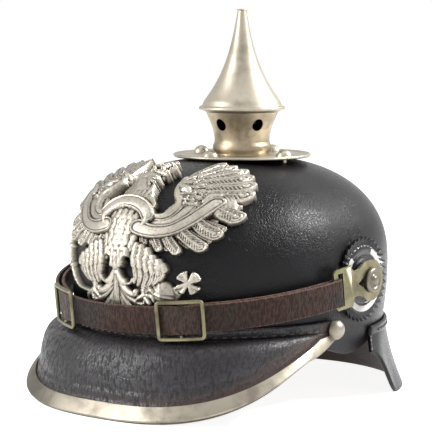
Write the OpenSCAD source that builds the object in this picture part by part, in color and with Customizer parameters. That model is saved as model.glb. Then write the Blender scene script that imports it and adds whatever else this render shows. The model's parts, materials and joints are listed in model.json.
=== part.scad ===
// Spiked leather dress helmet with visor, neck guard, eagle plate and chin strap.
// Built in the helmet's own frame: the spike is the Z axis, the visor seam is z = 0 and the front is -Y.
// stand() then leans it onto both visor edges, as it rests on a table.

/* [Skull] */
// Half width of the leather skull
skull_half_w = 83.5; // [80:0.5:88]
// Reach of the skull in front of the spike axis
skull_front = 108.5; // [104:0.5:112]
// Length of the straight side in front of the spike axis, ahead of which the skull rounds off
skull_mid = 18; // [8:0.5:22]
// Reach of the skull behind the spike axis
skull_rear = 89; // [85:0.5:93]
// Height of the crown above the visor seam
crown_h = 90.8; // [86:0.2:94]
// Height of the upright wall above the visor seam
wall_h = 29.5; // [26:0.5:33]
// Depth of the ear flaps below the visor seam
skirt_d = 15.5; // [13:0.5:18]
// Thickness of the skull leather
skull_t = 2.6; // [2:0.1:3.4]
// Share by which the wall narrows towards the rim
wall_taper = 0.06; // [0.03:0.005:0.08]
// Diameter of the air hole in the crown
crown_hole_d = 26; // [16:1:28]

/* [Visors] */
// Thickness of the visor leather
visor_t = 2.4; // [1.8:0.1:3]
// Height of the turned-up flange that is sewn to the skull
flange_h = 5; // [4:0.5:7]
// Flare of the front visor's edge beyond the skull's half width
front_visor_flare = 2.1; // [0.5:0.1:4.5]
// Reach of the front visor's edge in front of the skull
front_visor_ahead = 23.1; // [19.5:0.1:29.5]
// Drop of the front visor edge below the seam
front_visor_drop = 39.4; // [37:0.1:43]
// Outward swell of the front visor
front_visor_swell = 8.5; // [5:0.5:10]
// Flare of the neck guard's edge beyond the skull's half width
rear_visor_flare = 3; // [1.5:0.5:6.5]
// Reach of the neck guard's edge behind the skull
rear_visor_behind = 15; // [11:0.5:19]
// Drop of the neck guard edge below the seam, at the back
rear_visor_drop = 45.3; // [44:0.1:47]
// Drop of the neck guard edge below the seam, at the sides
rear_side_drop = 44.8; // [43.5:0.1:46.5]
// Hollow of the neck guard, which curves inwards
rear_visor_hollow = 1; // [0:0.5:4]
// Length of one stitch
stitch_l = 3; // [2:0.5:4]
// Diameter of the thread
thread_d = 0.9; // [0.6:0.1:1.2]

/* [Visor trim and spine] */
// Width of the trim on the outside of the visor
trim_w = 8; // [6:0.5:9]
// Width of the trim's hidden leg under the visor
trim_inner_w = 4; // [3:0.5:5]
// Thickness of the trim metal
trim_t = 0.7; // [0.5:0.1:1]
// Diameter of the domed stud at each end of the trim
trim_stud_d = 11.5; // [9:0.5:13]
// Width of the strip down the back
spine_w = 11; // [8:0.5:14]
// Thickness of the strip
spine_t = 0.8; // [0.6:0.1:1]

/* [Spike] */
// Radius of the round base plate
plate_r = 40; // [38:0.2:42]
// Thickness of the spike, neck and plate metal
spike_t = 0.8; // [0.6:0.1:1]
// Radius of the circle of base plate studs
stud_circle_r = 30; // [29:0.5:32]
// Diameter of a base plate stud
plate_stud_d = 9.4; // [8:0.2:11]
// Height of the spike above its rim
spike_rise = 55.3; // [50:0.1:60]
// Radius of the spike's rim
spike_rim_r = 25.1; // [24:0.1:26.5]
// Height of the neck between the base plate and the spike
neck_h = 24.4; // [22:0.2:27]
// Radius of the open tip
spike_tip_r = 2.4; // [2:0.1:3]
// Radius of the neck at its waist
neck_waist_r = 16; // [15.4:0.1:16.8]
// Number of air holes round the neck
vent_count = 5; // [4:1:6]
// Diameter of an air hole
vent_d = 6.8; // [5:0.2:8]
// Turn of the first air hole from the front
vent_turn = -5; // [-30:1:30]
// Radius of the spike's turned spigot
spigot_r = 6; // [5:0.2:8]

/* [Side posts and chin strap] */
// Distance of the posts in front of the spike axis
post_y = 1.3; // [0.5:0.1:4]
// Height of the posts above the seam
post_z = 25.9; // [25:0.1:28]
// Radius of the post's threaded shank
post_shank_r = 2.2; // [1.8:0.1:2.6]
// Radius of the post's neck, on which the strap lug turns
post_neck_r = 3; // [2.6:0.1:3.4]
// Radius of the post's head
post_head_r = 7; // [6:0.2:8]
// Radial play of the lug on the post
post_play = 0.05; // [0.03:0.01:0.08]
// Diameter of a cockade
cockade_d = 47.6; // [44:0.2:49]
// Width of the chin strap
strap_w = 15; // [13:0.5:17]
// Thickness of the chin strap
strap_t = 2; // [1.6:0.1:2.4]
// Slope of the strap down to the front
strap_slope = 7.2; // [6.4:0.1:8]
// Distance of the strap's outer layer from the skull
strap_off = 8; // [7.4:0.1:9]
// Width of a buckle along the strap
buckle_w = 27; // [24:0.5:30]
// Height of a buckle
buckle_h = 22.5; // [21:0.5:25]
// Diameter of the buckle wire
buckle_wire_d = 2.4; // [1.8:0.1:2.8]
// Place of each buckle along the strap from the front, in degrees
buckle_turn = 26; // [23:1:28]
// Thickness of the lug metal
lug_t = 1.2; // [1:0.1:1.5]

/* [Eagle plate] */
// Relief of the short feathers above the skull
feather_h = 4.4; // [3.4:0.1:5]
// Relief of the long feathers, which stand further off the skull
long_feather_h = 7; // [5:0.1:8]
// Relief of the breast above the skull
breast_h = 7.6; // [6:0.1:8.4]
// Turn of the eagle from the front
eagle_turn = 0; // [-5:1:5]

/* [Liner] */
// Thickness of the sweatband leather
liner_t = 1.4; // [1:0.1:1.8]
// Height of the sweatband above the seam
band_h = 26; // [22:1:30]
// Number of tongues
tongue_count = 10; // [8:1:12]
// Height of the tongues' tips above the seam
tongue_tip_z = 66; // [60:1:70]
// Radius of the opening between the tongues' tips
tongue_tip_r = 34; // [28:1:40]
// Diameter of the drawstring
drawstring_d = 2.4; // [1.6:0.2:3]

/* [Hidden] */
$fn = 48;

black_leather = [0.10, 0.10, 0.11];
brown_leather = [0.25, 0.17, 0.13];
white_metal = [0.72, 0.68, 0.60];
old_brass = [0.62, 0.58, 0.42];
black_paint = [0.08, 0.08, 0.10];
cotton = [0.60, 0.55, 0.45];
seat_gap = 0.3;
dome_power = 2.34;
big = 400;

// Small vector helpers
function unit(v) = v / norm(v);
function smooth(u) = let (c = min(1, max(0, u))) c * c * (3 - 2 * c);
function signed_power(a, m) = sign(a) * pow(abs(a), m);

// The skull's outline: shrink(z) is its radius at height z as a share of the widest one
function shrink(z, off = 0) = let (top = crown_h + off, u = (z - wall_h) / (top - wall_h))
    z <= wall_h ? 1 - wall_taper * pow((wall_h - z) / (wall_h + skirt_d), 2)
    : u >= 1 ? 0 : pow(1 - pow(u, dome_power), 1 / dome_power);
front_l = skull_front - skull_mid;
// A point of the skull's surface, a degrees round from the front and off outside it
function skull_point(a, z, off = 0) = let (g = shrink(z, off))
    [(skull_half_w + off) * g * sin(a),
    cos(a) > 0 ? -skull_mid - (front_l + off) * g * cos(a) : -(skull_rear + off) * g * cos(a), z];
// The y of the skull's front surface at [x, z]
function surface_y(x, z, off = 0) = let (g = shrink(z, off))
    -skull_mid - (front_l + off) * sqrt(max(0.0004, g * g - pow(x / (skull_half_w + off), 2)));
side_x = skull_point(90, post_z)[0];

// Rows of points to a closed sheet of leather or metal
function row_normal(rows, i, j) = let (
        n = len(rows), m = len(rows[0]),
        along = rows[min(n - 1, i + 1)][j] - rows[max(0, i - 1)][j],
        across = rows[i][min(m - 1, j + 1)] - rows[i][max(0, j - 1)])
    unit(cross(across, along));
module sheet(rows, t) {
    n = len(rows);
    m = len(rows[0]);
    outer = [for (i = [0 : n - 1]) for (j = [0 : m - 1]) rows[i][j]];
    inner = [for (i = [0 : n - 1]) for (j = [0 : m - 1]) rows[i][j] - row_normal(rows, i, j) * t];
    s = n * m;
    skin = [for (i = [0 : n - 2]) for (j = [0 : m - 2]) for (f = let (a = i * m + j)
        [[a, a + m + 1, a + 1], [a, a + m, a + m + 1],
        [s + a, s + a + 1, s + a + m + 1], [s + a, s + a + m + 1, s + a + m]]) f];
    sides = [for (j = [0 : m - 2]) for (f = let (a = j, b = (n - 1) * m + j)
        [[a, a + 1, s + a + 1], [a, s + a + 1, s + a],
        [b, s + b + 1, b + 1], [b, s + b, s + b + 1]]) f];
    ends = [for (i = [0 : n - 2]) for (f = let (a = i * m, b = i * m + m - 1)
        [[a, s + a + m, a + m], [a, s + a, s + a + m],
        [b, b + m, s + b + m], [b, s + b + m, s + b]]) f];
    polyhedron(concat(outer, inner), concat(skin, sides, ends));
}
// Closed rings of points to a solid bar, or to a closed loop
function bar_faces(n, m, count) = [for (i = [0 : count - 1]) for (j = [0 : m - 1])
    for (f = let (k = (j + 1) % m, a = i * m, b = ((i + 1) % n) * m)
        [[a + j, b + k, a + k], [a + j, b + j, b + k]]) f];
module ring_sweep(rings) {
    n = len(rings);
    m = len(rings[0]);
    polyhedron([for (r = rings) for (p = r) p], concat(bar_faces(n, m, n - 1),
        [[for (j = [0 : m - 1]) j], [for (j = [m - 1 : -1 : 0]) (n - 1) * m + j]]));
}
module loop_sweep(rings) {
    polyhedron([for (r = rings) for (p = r) p], bar_faces(len(rings), len(rings[0]), len(rings)));
}

// Front visor: its edge, its seam on the skull and the rows between them
front_steps = 36;
front_end_turn = 100;
front_visor_half_w = skull_half_w + front_visor_flare;
front_visor_reach = skull_front + front_visor_ahead;
front_edge_mid = skull_mid + 32.3;
front_edge_power = 0.77;
front_swell_power = 0.68;
front_rise = front_visor_drop * 0.4;
front_rise_more = front_visor_drop * 0.31;
function front_edge(t) = let (w = 1 - cos(t))
    [front_visor_half_w * signed_power(sin(t), front_edge_power),
    -(front_edge_mid + (front_visor_reach - front_edge_mid) * signed_power(cos(t), front_edge_power)),
    -front_visor_drop + front_rise * w + front_rise_more * w * w];
front_seam_turn = acos((-front_edge(front_end_turn)[1] - skull_mid) / front_l);
function front_seam(t, z) = skull_point(t * front_seam_turn / front_end_turn, z, seat_gap + visor_t);
function front_down(t) = unit(front_edge(t) - front_seam(t, 0));
function front_up(t) = unit(cross(front_edge(t - 1) - front_edge(t + 1), front_down(t)));
function front_length(t) = norm(front_edge(t) - front_seam(t, 0));
function front_flat(t) = min(trim_w + 1.5, 0.8 * front_length(t));
function front_row(t) = let (a = front_seam(t, 0), b = front_edge(t) - front_down(t) * front_flat(t),
        swell = front_visor_swell * min(1, norm(b - a) / 30))
    concat([front_seam(t, flange_h)],
        [for (s = [0 : 0.2 : 1])
            a + (b - a) * s + front_up(t) * swell * sin(180 * pow(s, front_swell_power))],
        [front_edge(t)]);
front_turns = [for (i = [0 : front_steps]) front_end_turn * (2 * i / front_steps - 1)];
front_rows = [for (t = front_turns) front_row(t)];
// The trim's U section round the visor edge, d down the visor and n out of it
function trim_point(t, d, n) = front_edge(t) + front_down(t) * d + front_up(t) * n;
trim_gap = 0.15;
function trim_ring(t) = let (g = trim_gap, w = min(trim_w, front_length(t) * 0.7), e = g + trim_t,
        in_w = min(trim_inner_w, w - 1))
    [for (p = [[-w, e], [e - 0.4, e], [e, e - 0.4], [e, -visor_t - e + 0.4], [e - 0.4, -visor_t - e],
        [-in_w, -visor_t - e], [-in_w, -visor_t - g], [g, -visor_t - g], [g, g], [-w, g]])
        trim_point(t, p[0], p[1])];

// Neck guard, in the same way
rear_steps = 36;
rear_visor_half_w = skull_half_w + rear_visor_flare;
rear_visor_reach = skull_rear + rear_visor_behind;
rear_edge_mid = 12;
rear_seam_z = -8;
rear_end_y = 7;
rear_seam_y = 13;
rear_full_y = 44;
rear_end_turn = 90 + asin((rear_edge_mid - rear_end_y) / (rear_visor_reach - rear_edge_mid));
function rear_edge(t) = let (y = rear_edge_mid + (rear_visor_reach - rear_edge_mid) * cos(t))
    [rear_visor_half_w * sin(t), y,
    -skirt_d - (rear_side_drop - skirt_d) * smooth((y - rear_end_y) / (rear_full_y - rear_end_y))
    - (rear_visor_drop - rear_side_drop) * max(0, (y - rear_full_y) / (rear_visor_reach - rear_full_y))];
rear_seam_turn = acos(rear_seam_y / skull_rear);
function rear_seam(t, z) = skull_point(180 - t * rear_seam_turn / rear_end_turn, z, seat_gap + visor_t);
function rear_down(t) = unit(rear_edge(t) - rear_seam(t, rear_seam_z));
function rear_up(t) = unit(cross(rear_down(t), rear_edge(t - 1) - rear_edge(t + 1))) * -1;
function rear_row(t) = let (a = rear_seam(t, rear_seam_z), b = rear_edge(t),
        hollow = rear_visor_hollow * smooth((norm(b - a) - 12) / 22))
    concat([rear_seam(t, rear_seam_z + flange_h - 1)],
        [for (s = [0 : 0.2 : 1]) a + (b - a) * s + rear_up(t) * hollow * sin(180 * s)]);
rear_turns = [for (i = [0 : rear_steps]) rear_end_turn * (1 - 2 * i / rear_steps)];
rear_rows = [for (t = rear_turns) rear_row(t)];

// How the helmet stands: it leans until the trim and both sides of the neck guard are level
front_foot = trim_point(0, trim_gap + trim_t, -visor_t - trim_gap);
rear_feet = [for (i = [0 : rear_steps]) for (t = [0, visor_t]) let (j = len(rear_rows[0]) - 1)
    rear_rows[i][j] - row_normal(rear_rows, i, j) * t];
lean = max([for (p = rear_feet) atan((front_foot[2] - p[2]) / (p[1] - front_foot[1]))]);
foot_cut = 0.4;
foot_z = front_foot[1] * sin(lean) + front_foot[2] * cos(lean) + foot_cut;
function leant_y(p) = p[1] * cos(lean) - p[2] * sin(lean);
mid_y = (min([for (p = trim_ring(0)) leant_y(p)]) + max([for (p = rear_feet) leant_y(p)])) / 2;
module stand() translate([0, -mid_y, -foot_z]) rotate([lean, 0, 0]) children();
module stand_flat() difference() {
    stand() children();
    translate([-big / 2, -big / 2, -10]) cube([big, big, 10]);
}

// Solid skull shape, off outside the leather's outer face
dome_steps = 20;
wall_steps = 3;
low_z = -skirt_d - 8;
function profile(off) = concat([[0, low_z]],
    [for (i = [0 : wall_steps]) let (z = low_z + (wall_h - low_z) * i / wall_steps)
        [(skull_half_w + off) * shrink(z, off), z]],
    [for (i = [1 : dome_steps]) let (b = 90 * i / dome_steps, u = pow(sin(b), 2 / dome_power))
        [(skull_half_w + off) * pow(cos(b), 2 / dome_power) * (i < dome_steps ? 1 : 0),
        wall_h + (crown_h + off - wall_h) * (i < dome_steps ? u : 1)]]);
module half_dome(off, reach) {
    scale([1, (reach + off) / (skull_half_w + off), 1])
        rotate_extrude(angle = 180, $fn = 96) polygon(profile(off));
}
// A half plane outline swept along the skull's straight sides
module straight(outline) {
    rotate([90, 0, 0]) linear_extrude(height = skull_mid) for (side = [0, 1])
        mirror([side, 0, 0]) polygon(outline);
}
module dome(off) {
    translate([0, -skull_mid, 0]) rotate([0, 0, 180]) half_dome(off, front_l);
    straight(profile(off));
    half_dome(off, skull_rear);
}
// Everything below the skull's rim, raised by up; the rim dips into an ear flap at each side
flap_mid_y = -4;
flap_half_y = 36;
rim_z = -8;
function flap_z(y) = let (u = min(1, abs(y - flap_mid_y) / flap_half_y))
    rim_z - (skirt_d + rim_z) * (1 - smooth(u));
module below_rim(up) {
    edge = [for (i = [-12 : 12]) let (y = flap_mid_y + flap_half_y * i / 12) [y, flap_z(y) + up]];
    rotate([90, 0, 90]) linear_extrude(height = big, center = true)
        polygon(concat([[-big, rim_z + up]], edge, [[big, rim_z + up], [big, -big], [-big, -big]]));
}
// Both sides of the helmet, and a cylinder along the post's line
module both_sides() {
    children();
    mirror([1, 0, 0]) children();
}
module along_x(x, y, z) {
    translate([x, y, z]) rotate([0, 90, 0]) children();
}
trim_stud_y = front_edge(front_end_turn)[1] + 2;
trim_stud_z = 1;
trim_stud_share = (-trim_stud_y - skull_mid) / front_l;
trim_stud_x = skull_half_w * shrink(trim_stud_z) * sqrt(1 - pow(trim_stud_share, 2));
trim_stud_turn = atan2(trim_stud_x / pow(skull_half_w, 2), trim_stud_share / front_l);
shank_r = 1.4;
hole_play = 0.1;
drill_l = 20;
module stud_drill() {
    translate([0, 0, -drill_l / 2]) cylinder(r = shank_r + hole_play, h = drill_l);
}
// Places a child whose +Z points out of the skull, at the trim's end stud
module at_trim_stud() {
    translate([trim_stud_x, trim_stud_y, trim_stud_z]) rotate([90, 0, trim_stud_turn]) children();
}
plate_stud_turns = [0, 90, 180, 270];
module at_plate_studs() {
    for (a = plate_stud_turns) rotate([0, 0, a]) translate([0, -stud_circle_r, 0]) children();
}
spine_stud_z = 12;
spine_stud_y = skull_rear * shrink(spine_stud_z);
module at_spine_stud(h) {
    translate([0, spine_stud_y + h, spine_stud_z]) rotate([-90, 0, 0]) children();
}
loop_x = 24;
loop_z = 58;
loop_slot_w = 7;
loop_slot_h = 4;
module loop_slots(play) {
    both_sides() translate([loop_x, 0, loop_z]) rotate([90, 0, 0])
        translate([-loop_slot_w / 2 - play, -loop_slot_h / 2 - play, 0])
        cube([loop_slot_w + 2 * play, loop_slot_h + 2 * play, big]);
}

module skull() {
    color(black_leather) difference() {
        dome(0);
        dome(-skull_t);
        below_rim(0);
        translate([0, 0, crown_h - 20]) cylinder(r = crown_hole_d / 2, h = 40);
        at_plate_studs() translate([0, 0, crown_h]) stud_drill();
        both_sides() along_x(side_x - 20, -post_y, post_z) cylinder(r = post_shank_r + hole_play, h = 40);
        both_sides() at_trim_stud() stud_drill();
        at_spine_stud(0) stud_drill();
        loop_slots(hole_play * 2);
    }
}
module front_visor() {
    color(black_leather) difference() {
        sheet(front_rows, visor_t);
        both_sides() at_trim_stud() stud_drill();
    }
}
module rear_visor() {
    color(black_leather) difference() {
        sheet(rear_rows, visor_t);
        at_spine_stud(0) stud_drill();
    }
}
// A row of stitches along the seam: each lies on the flange and dips into it
module stitch_row(a0, a1, count, z) {
    for (i = [0 : count - 1]) {
        a = a0 + (a1 - a0) * (i + 0.5) / count;
        p = skull_point(a, z, seat_gap + visor_t);
        q = skull_point(a + 0.5, z, seat_gap + visor_t);
        translate(p) rotate([0, 0, atan2(q[1] - p[1], q[0] - p[0])]) rotate([0, 90, 0])
            cylinder(d = thread_d, h = stitch_l, center = true, $fn = 16);
    }
}
stitch_z = 1.6;
stitch_margin = 6;
front_stitches = 44;
rear_stitches = 22;
module front_visor_stitching() {
    last = front_seam_turn - stitch_margin;
    color(black_paint) stitch_row(-last, last, front_stitches, stitch_z);
}
module rear_visor_stitching() {
    spine_margin = 4;
    color(black_paint) for (side = [-1, 1])
        stitch_row(180 + side * spine_margin, 180 + side * (rear_seam_turn - stitch_margin),
            rear_stitches, rear_seam_z + stitch_z);
}
module front_visor_trim() {
    color(white_metal) difference() {
        ring_sweep([for (t = front_turns) trim_ring(t)]);
        both_sides() at_trim_stud() stud_drill();
    }
}
prong_l = 6;
prong_w = 1.8;
prong_t = 0.7;
// A stud with a domed head, a shank and two prongs spread behind a wall of thickness grip
module domed_stud(d, rise, grip) {
    r = d / 2;
    ball = (r * r + rise * rise) / (2 * rise);
    intersection() {
        translate([0, 0, rise - ball]) sphere(r = ball);
        cylinder(r = r + 1, h = rise + 1);
    }
    translate([0, 0, -grip]) cylinder(r = shank_r, h = grip + 0.5);
    translate([-prong_l, -prong_w / 2, -grip - prong_t]) cube([2 * prong_l, prong_w, prong_t + 0.01]);
}
prong_room = 0.9;
trim_stud_rise = 4.6;
trim_stud_base = seat_gap + visor_t + trim_gap + trim_t + 0.4;
module trim_end_studs() {
    color(white_metal) both_sides() at_trim_stud() translate([0, 0, trim_stud_base])
        domed_stud(trim_stud_d, trim_stud_rise, trim_stud_base + skull_t + prong_room);
}

// The strip down the back, as a band in the middle plane
spine_gap = seat_gap + 0.1;
function spine_skull(off) = [for (b = [62, 56, 50, 43, 36, 28, 20, 12, 5])
    [(skull_rear + off) * pow(cos(b), 2 / dome_power),
    wall_h + (crown_h + off - wall_h) * pow(sin(b), 2 / dome_power)]];
function spine_wall(off) = [for (z = [wall_h * 0.7, flange_h + 7]) [(skull_rear + off) * shrink(z), z]];
function spine_guard(off) = [for (j = [0 : len(rear_rows[0]) - 2])
    let (p = rear_rows[rear_steps / 2][j], n = row_normal(rear_rows, rear_steps / 2, j))
    [p[1] + n[1] * off, p[2] + n[2] * off]];
function spine_line(off) = concat(spine_skull(off), spine_wall(off), spine_guard(off));
module rear_spine() {
    outer = spine_line(spine_gap + spine_t);
    inner = spine_line(spine_gap);
    color(white_metal) difference() {
        rotate([90, 0, 90]) linear_extrude(height = spine_w, center = true)
            polygon(concat(outer, [for (i = [len(inner) - 1 : -1 : 0]) inner[i]]));
        at_spine_stud(0) stud_drill();
    }
}
spine_stud_d = 7;
spine_stud_rise = 2.6;
module rear_spine_stud() {
    color(white_metal) at_spine_stud(spine_gap + spine_t + 0.4)
        domed_stud(spine_stud_d, spine_stud_rise, spine_gap + spine_t + skull_t + prong_room);
}

// Base plate: a dished disc with a rolled rim, raised in the middle to carry the neck
plate_mid_z = crown_h + seat_gap + spike_t;
plate_mid_r = neck_waist_r + 3;
plate_floor_z = plate_mid_z - 0.25;
plate_rim_bead = 0.95;
module base_plate() {
    bead_z = plate_floor_z - 0.1;
    color(white_metal) difference() {
        rotate_extrude($fn = 96) polygon(concat(
            [[crown_hole_d / 2, plate_mid_z - spike_t], [crown_hole_d / 2, plate_mid_z],
            [plate_mid_r, plate_mid_z], [plate_mid_r + 2, plate_floor_z], [plate_r - 3, plate_floor_z]],
            [for (a = [135 : -27 : -135])
                [plate_r - plate_rim_bead * (1 - cos(a)), bead_z + plate_rim_bead * sin(a)]],
            [[plate_r - 3, plate_floor_z - spike_t], [plate_mid_r + 2, plate_floor_z - spike_t],
            [plate_mid_r, plate_mid_z - spike_t]]));
        at_plate_studs() translate([0, 0, crown_h]) stud_drill();
    }
}
// Height of the skull's inner face at [x, y]
function inner_z(x, y) = let (
        k = y < 0 ? min(0, y + skull_mid) / (front_l - skull_t) : y / (skull_rear - skull_t),
        g = norm([x / (skull_half_w - skull_t), k]))
    wall_h + (crown_h - skull_t - wall_h) * pow(1 - pow(g, dome_power), 1 / dome_power);
washer_r = 4.5;
washer_t = 1;
function washer_z(a) = let (r = stud_circle_r + washer_r) inner_z(r * sin(a), -r * cos(a)) - 0.1;
stud_head_z = plate_floor_z + 0.05;
plate_stud_rise = 4;
module base_plate_studs() {
    color(white_metal) for (a = plate_stud_turns) rotate([0, 0, a])
        translate([0, -stud_circle_r, stud_head_z])
        domed_stud(plate_stud_d, plate_stud_rise, stud_head_z - washer_z(a) + washer_t + 0.1);
}
module stud_washers() {
    color(brown_leather) for (a = plate_stud_turns) rotate([0, 0, a])
        translate([0, -stud_circle_r, washer_z(a) - washer_t]) difference() {
            cylinder(r = washer_r, h = washer_t);
            translate([0, 0, -1]) cylinder(r = shank_r + hole_play, h = washer_t + 2);
        }
}

// Neck and spike: turned sheet metal, given by radius and height
neck_foot_z = plate_mid_z + 0.05;
neck_top_z = neck_foot_z + neck_h;
neck_flare = [[0.1, 0], [0.1, 0.04], [0.8, 0.1], [1, 0.16], [0.8, 0.23], [0.05, 0.3], [0, 0.36],
    [0.3, 0.46], [1.1, 0.6], [2.2, 0.72], [3.5, 0.85], [5, 1]];
neck_wall = [for (p = neck_flare) [neck_waist_r + p[0], neck_foot_z + p[1] * neck_h]];
neck_mouth_r = neck_waist_r + 5 - spike_t;
vent_z = neck_foot_z + 0.715 * neck_h;
module spike_neck() {
    color(white_metal) difference() {
        rotate_extrude($fn = 96) polygon(concat(neck_wall,
            [for (i = [len(neck_wall) - 1 : -1 : 0]) neck_wall[i] - [spike_t, 0]]));
        for (i = [0 : vent_count - 1]) rotate([0, 0, vent_turn + 360 * i / vent_count])
            translate([0, -neck_waist_r / 2, vent_z]) rotate([90, 0, 0]) cylinder(r = vent_d / 2, h = 20);
    }
}
// The web soldered inside the neck's mouth, with the seat that the spike screws into
socket_t = 1.2;
socket_z = neck_top_z - socket_t - 1;
socket_l = 6;
spigot_play = 0.06;
web_hole_r = 2.2;
web_hole_at = 13;
module neck_socket() {
    color(old_brass) difference() {
        union() {
            translate([0, 0, socket_z]) cylinder(r = neck_mouth_r - 1.2, h = socket_t);
            translate([0, 0, socket_z + socket_t - socket_l]) cylinder(r = spigot_r + 2, h = socket_l);
        }
        translate([0, 0, socket_z - socket_l]) cylinder(r = spigot_r + spigot_play, h = 2 * socket_l);
        for (a = [36 : 72 : 324]) rotate([0, 0, a]) translate([0, -web_hole_at, socket_z - 1])
            cylinder(r = web_hole_r, h = 4);
    }
}
spike_foot_z = neck_top_z + 0.25;
spike_rim_z = spike_foot_z + 3.2;
spike_tip_z = spike_rim_z + spike_rise;
// The cone's radius at a share k of the way down from the tip
function cone_r(k) = spike_tip_r + (spike_rim_r - 0.6 - spike_tip_r) * (0.56 * pow(k, 3) + 0.44 * k);
flare_steps = 14;
module spike() {
    flare = [for (i = [0 : flare_steps]) let (k = 1 - i / flare_steps)
        [cone_r(k), spike_tip_z - k * spike_rise]];
    lip = [[spike_tip_r + 0.1, spike_tip_z - 0.9], [spike_tip_r + 0.7, spike_tip_z],
        [spike_tip_r, spike_tip_z + 0.3], [spike_tip_r - spike_t, spike_tip_z - 1]];
    color(white_metal) rotate_extrude($fn = 96) polygon(concat(
        [[neck_mouth_r + 0.1, spike_foot_z], [neck_mouth_r + 1.6, spike_foot_z],
        [spike_rim_r - 0.5, spike_foot_z + 1.3], [spike_rim_r, spike_foot_z + 1.9],
        [spike_rim_r, spike_foot_z + 2.5], [spike_rim_r - 0.3, spike_foot_z + 3]],
        [for (i = [0 : flare_steps - 1]) flare[i]], lip,
        [for (i = [flare_steps - 1 : -1 : 0]) [flare[i][0] - spike_t * 1.2, flare[i][1] - 0.3]],
        [[spike_rim_r - 2, spike_foot_z + 2], [neck_mouth_r + 0.1, spike_foot_z + spike_t]]));
}
module spike_spigot() {
    color(old_brass) {
        low_z = socket_z + socket_t - socket_l;
        translate([0, 0, spike_foot_z]) cylinder(r = neck_mouth_r, h = spike_t);
        translate([0, 0, low_z]) cylinder(r = spigot_r, h = spike_foot_z + spike_t / 2 - low_z);
    }
}

// Eagle plate: x runs across the front and s up over the dome, along its surface
arc_step = 1.3;
function arc_point(x, s) = let (b = max(0, s - wall_h) / arc_step,
        g = s <= wall_h ? shrink(s) : pow(cos(b), 2 / dome_power),
        z = s <= wall_h ? s : wall_h + (crown_h - wall_h) * pow(sin(b), 2 / dome_power))
    [x, -skull_mid - front_l * sqrt(max(0.001, g * g - pow(x / skull_half_w, 2))), z];
function skull_normal(p) = let (y = p[1] + skull_mid, g = norm([p[0] / skull_half_w, y / front_l]),
        u = max(0, (p[2] - wall_h) / (crown_h - wall_h)), k = pow(g, dome_power - 2))
    unit([k * p[0] / pow(skull_half_w, 2), k * y / pow(front_l, 2),
        pow(u, dome_power - 1) / (crown_h - wall_h)]);
function relief_point(x, s, h) = let (p = arc_point(x, s)) p + skull_normal(p) * h;
// A chain of mounds through [x, s, half width, relief]
module mounds(points) {
    for (i = [0 : len(points) - 2]) hull() for (p = [points[i], points[i + 1]])
        translate(relief_point(p[0], p[1], p[3] - p[2])) sphere(r = p[2], $fn = 10);
}
// Feathers fanned from points along the first line to tips along the second
function along_line(line, u) = let (k = u * (len(line) - 1), i = min(len(line) - 2, floor(k)))
    line[i] + (line[i + 1] - line[i]) * (k - i);
module fan(roots, tips, half_w, h) {
    for (i = [0 : len(tips) - 1]) {
        r = along_line(roots, i / (len(tips) - 1));
        m = (r + tips[i]) / 2;
        mounds([concat(r, [half_w * 0.8, h]), concat(m, [half_w, h]), concat(tips[i], [half_w, h * 0.9])]);
    }
}
primary_tips = [[25, 111], [40, 99], [51, 86], [54, 76], [54, 67]];
secondary_tips = [[51, 60], [46, 54], [40, 51], [34, 49], [27, 48], [20, 49], [13, 51]];
module wing() {
    fan([[19, 94], [26, 87], [31, 76]], primary_tips, 6, long_feather_h);
    fan([[33, 74], [24, 66], [9, 62]], secondary_tips, 5.4, feather_h);
    // rolled leading edge up to the wrist
    mounds([[6, 67, 4.4, 7], [15, 69.5, 4.2, 6.8], [19, 75, 4.2, 6.4], [18, 82, 4.2, 6]]);
    mounds([[18, 82, 4.2, 6], [16, 90, 4.6, 6.6], [20, 95, 4, 4.6]]);
    // coverts
    mounds([[22, 96, 7, 5], [27, 88, 9, 5.8], [30, 79, 9, 5.6], [26, 71, 9, 5.6], [14, 62, 8, 6]]);
    // ribbon along the wing
    mounds([[12, 63, 3.6, 6.4], [15, 57.5, 3.6, 6.4], [21, 56.5, 3.6, 6.4], [27, 59.5, 3.6, 6.4]]);
    mounds([[27, 59.5, 3.6, 6.4], [33, 65, 3.6, 6.4], [39, 70, 3.6, 6.4], [45, 72.5, 3.6, 6]]);
}
module leg() {
    mounds([[6, 49, 6, 5.6], [14, 44, 7, 6], [22, 39, 7, 5.6], [21, 31, 5, 4.8], [17, 26, 3, 4.2]]);
    for (toe = [[11, 22], [16, 19], [23, 20]]) mounds([[17, 26, 2.4, 4], [toe[0], toe[1], 1.8, 3.4]]);
}
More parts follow.
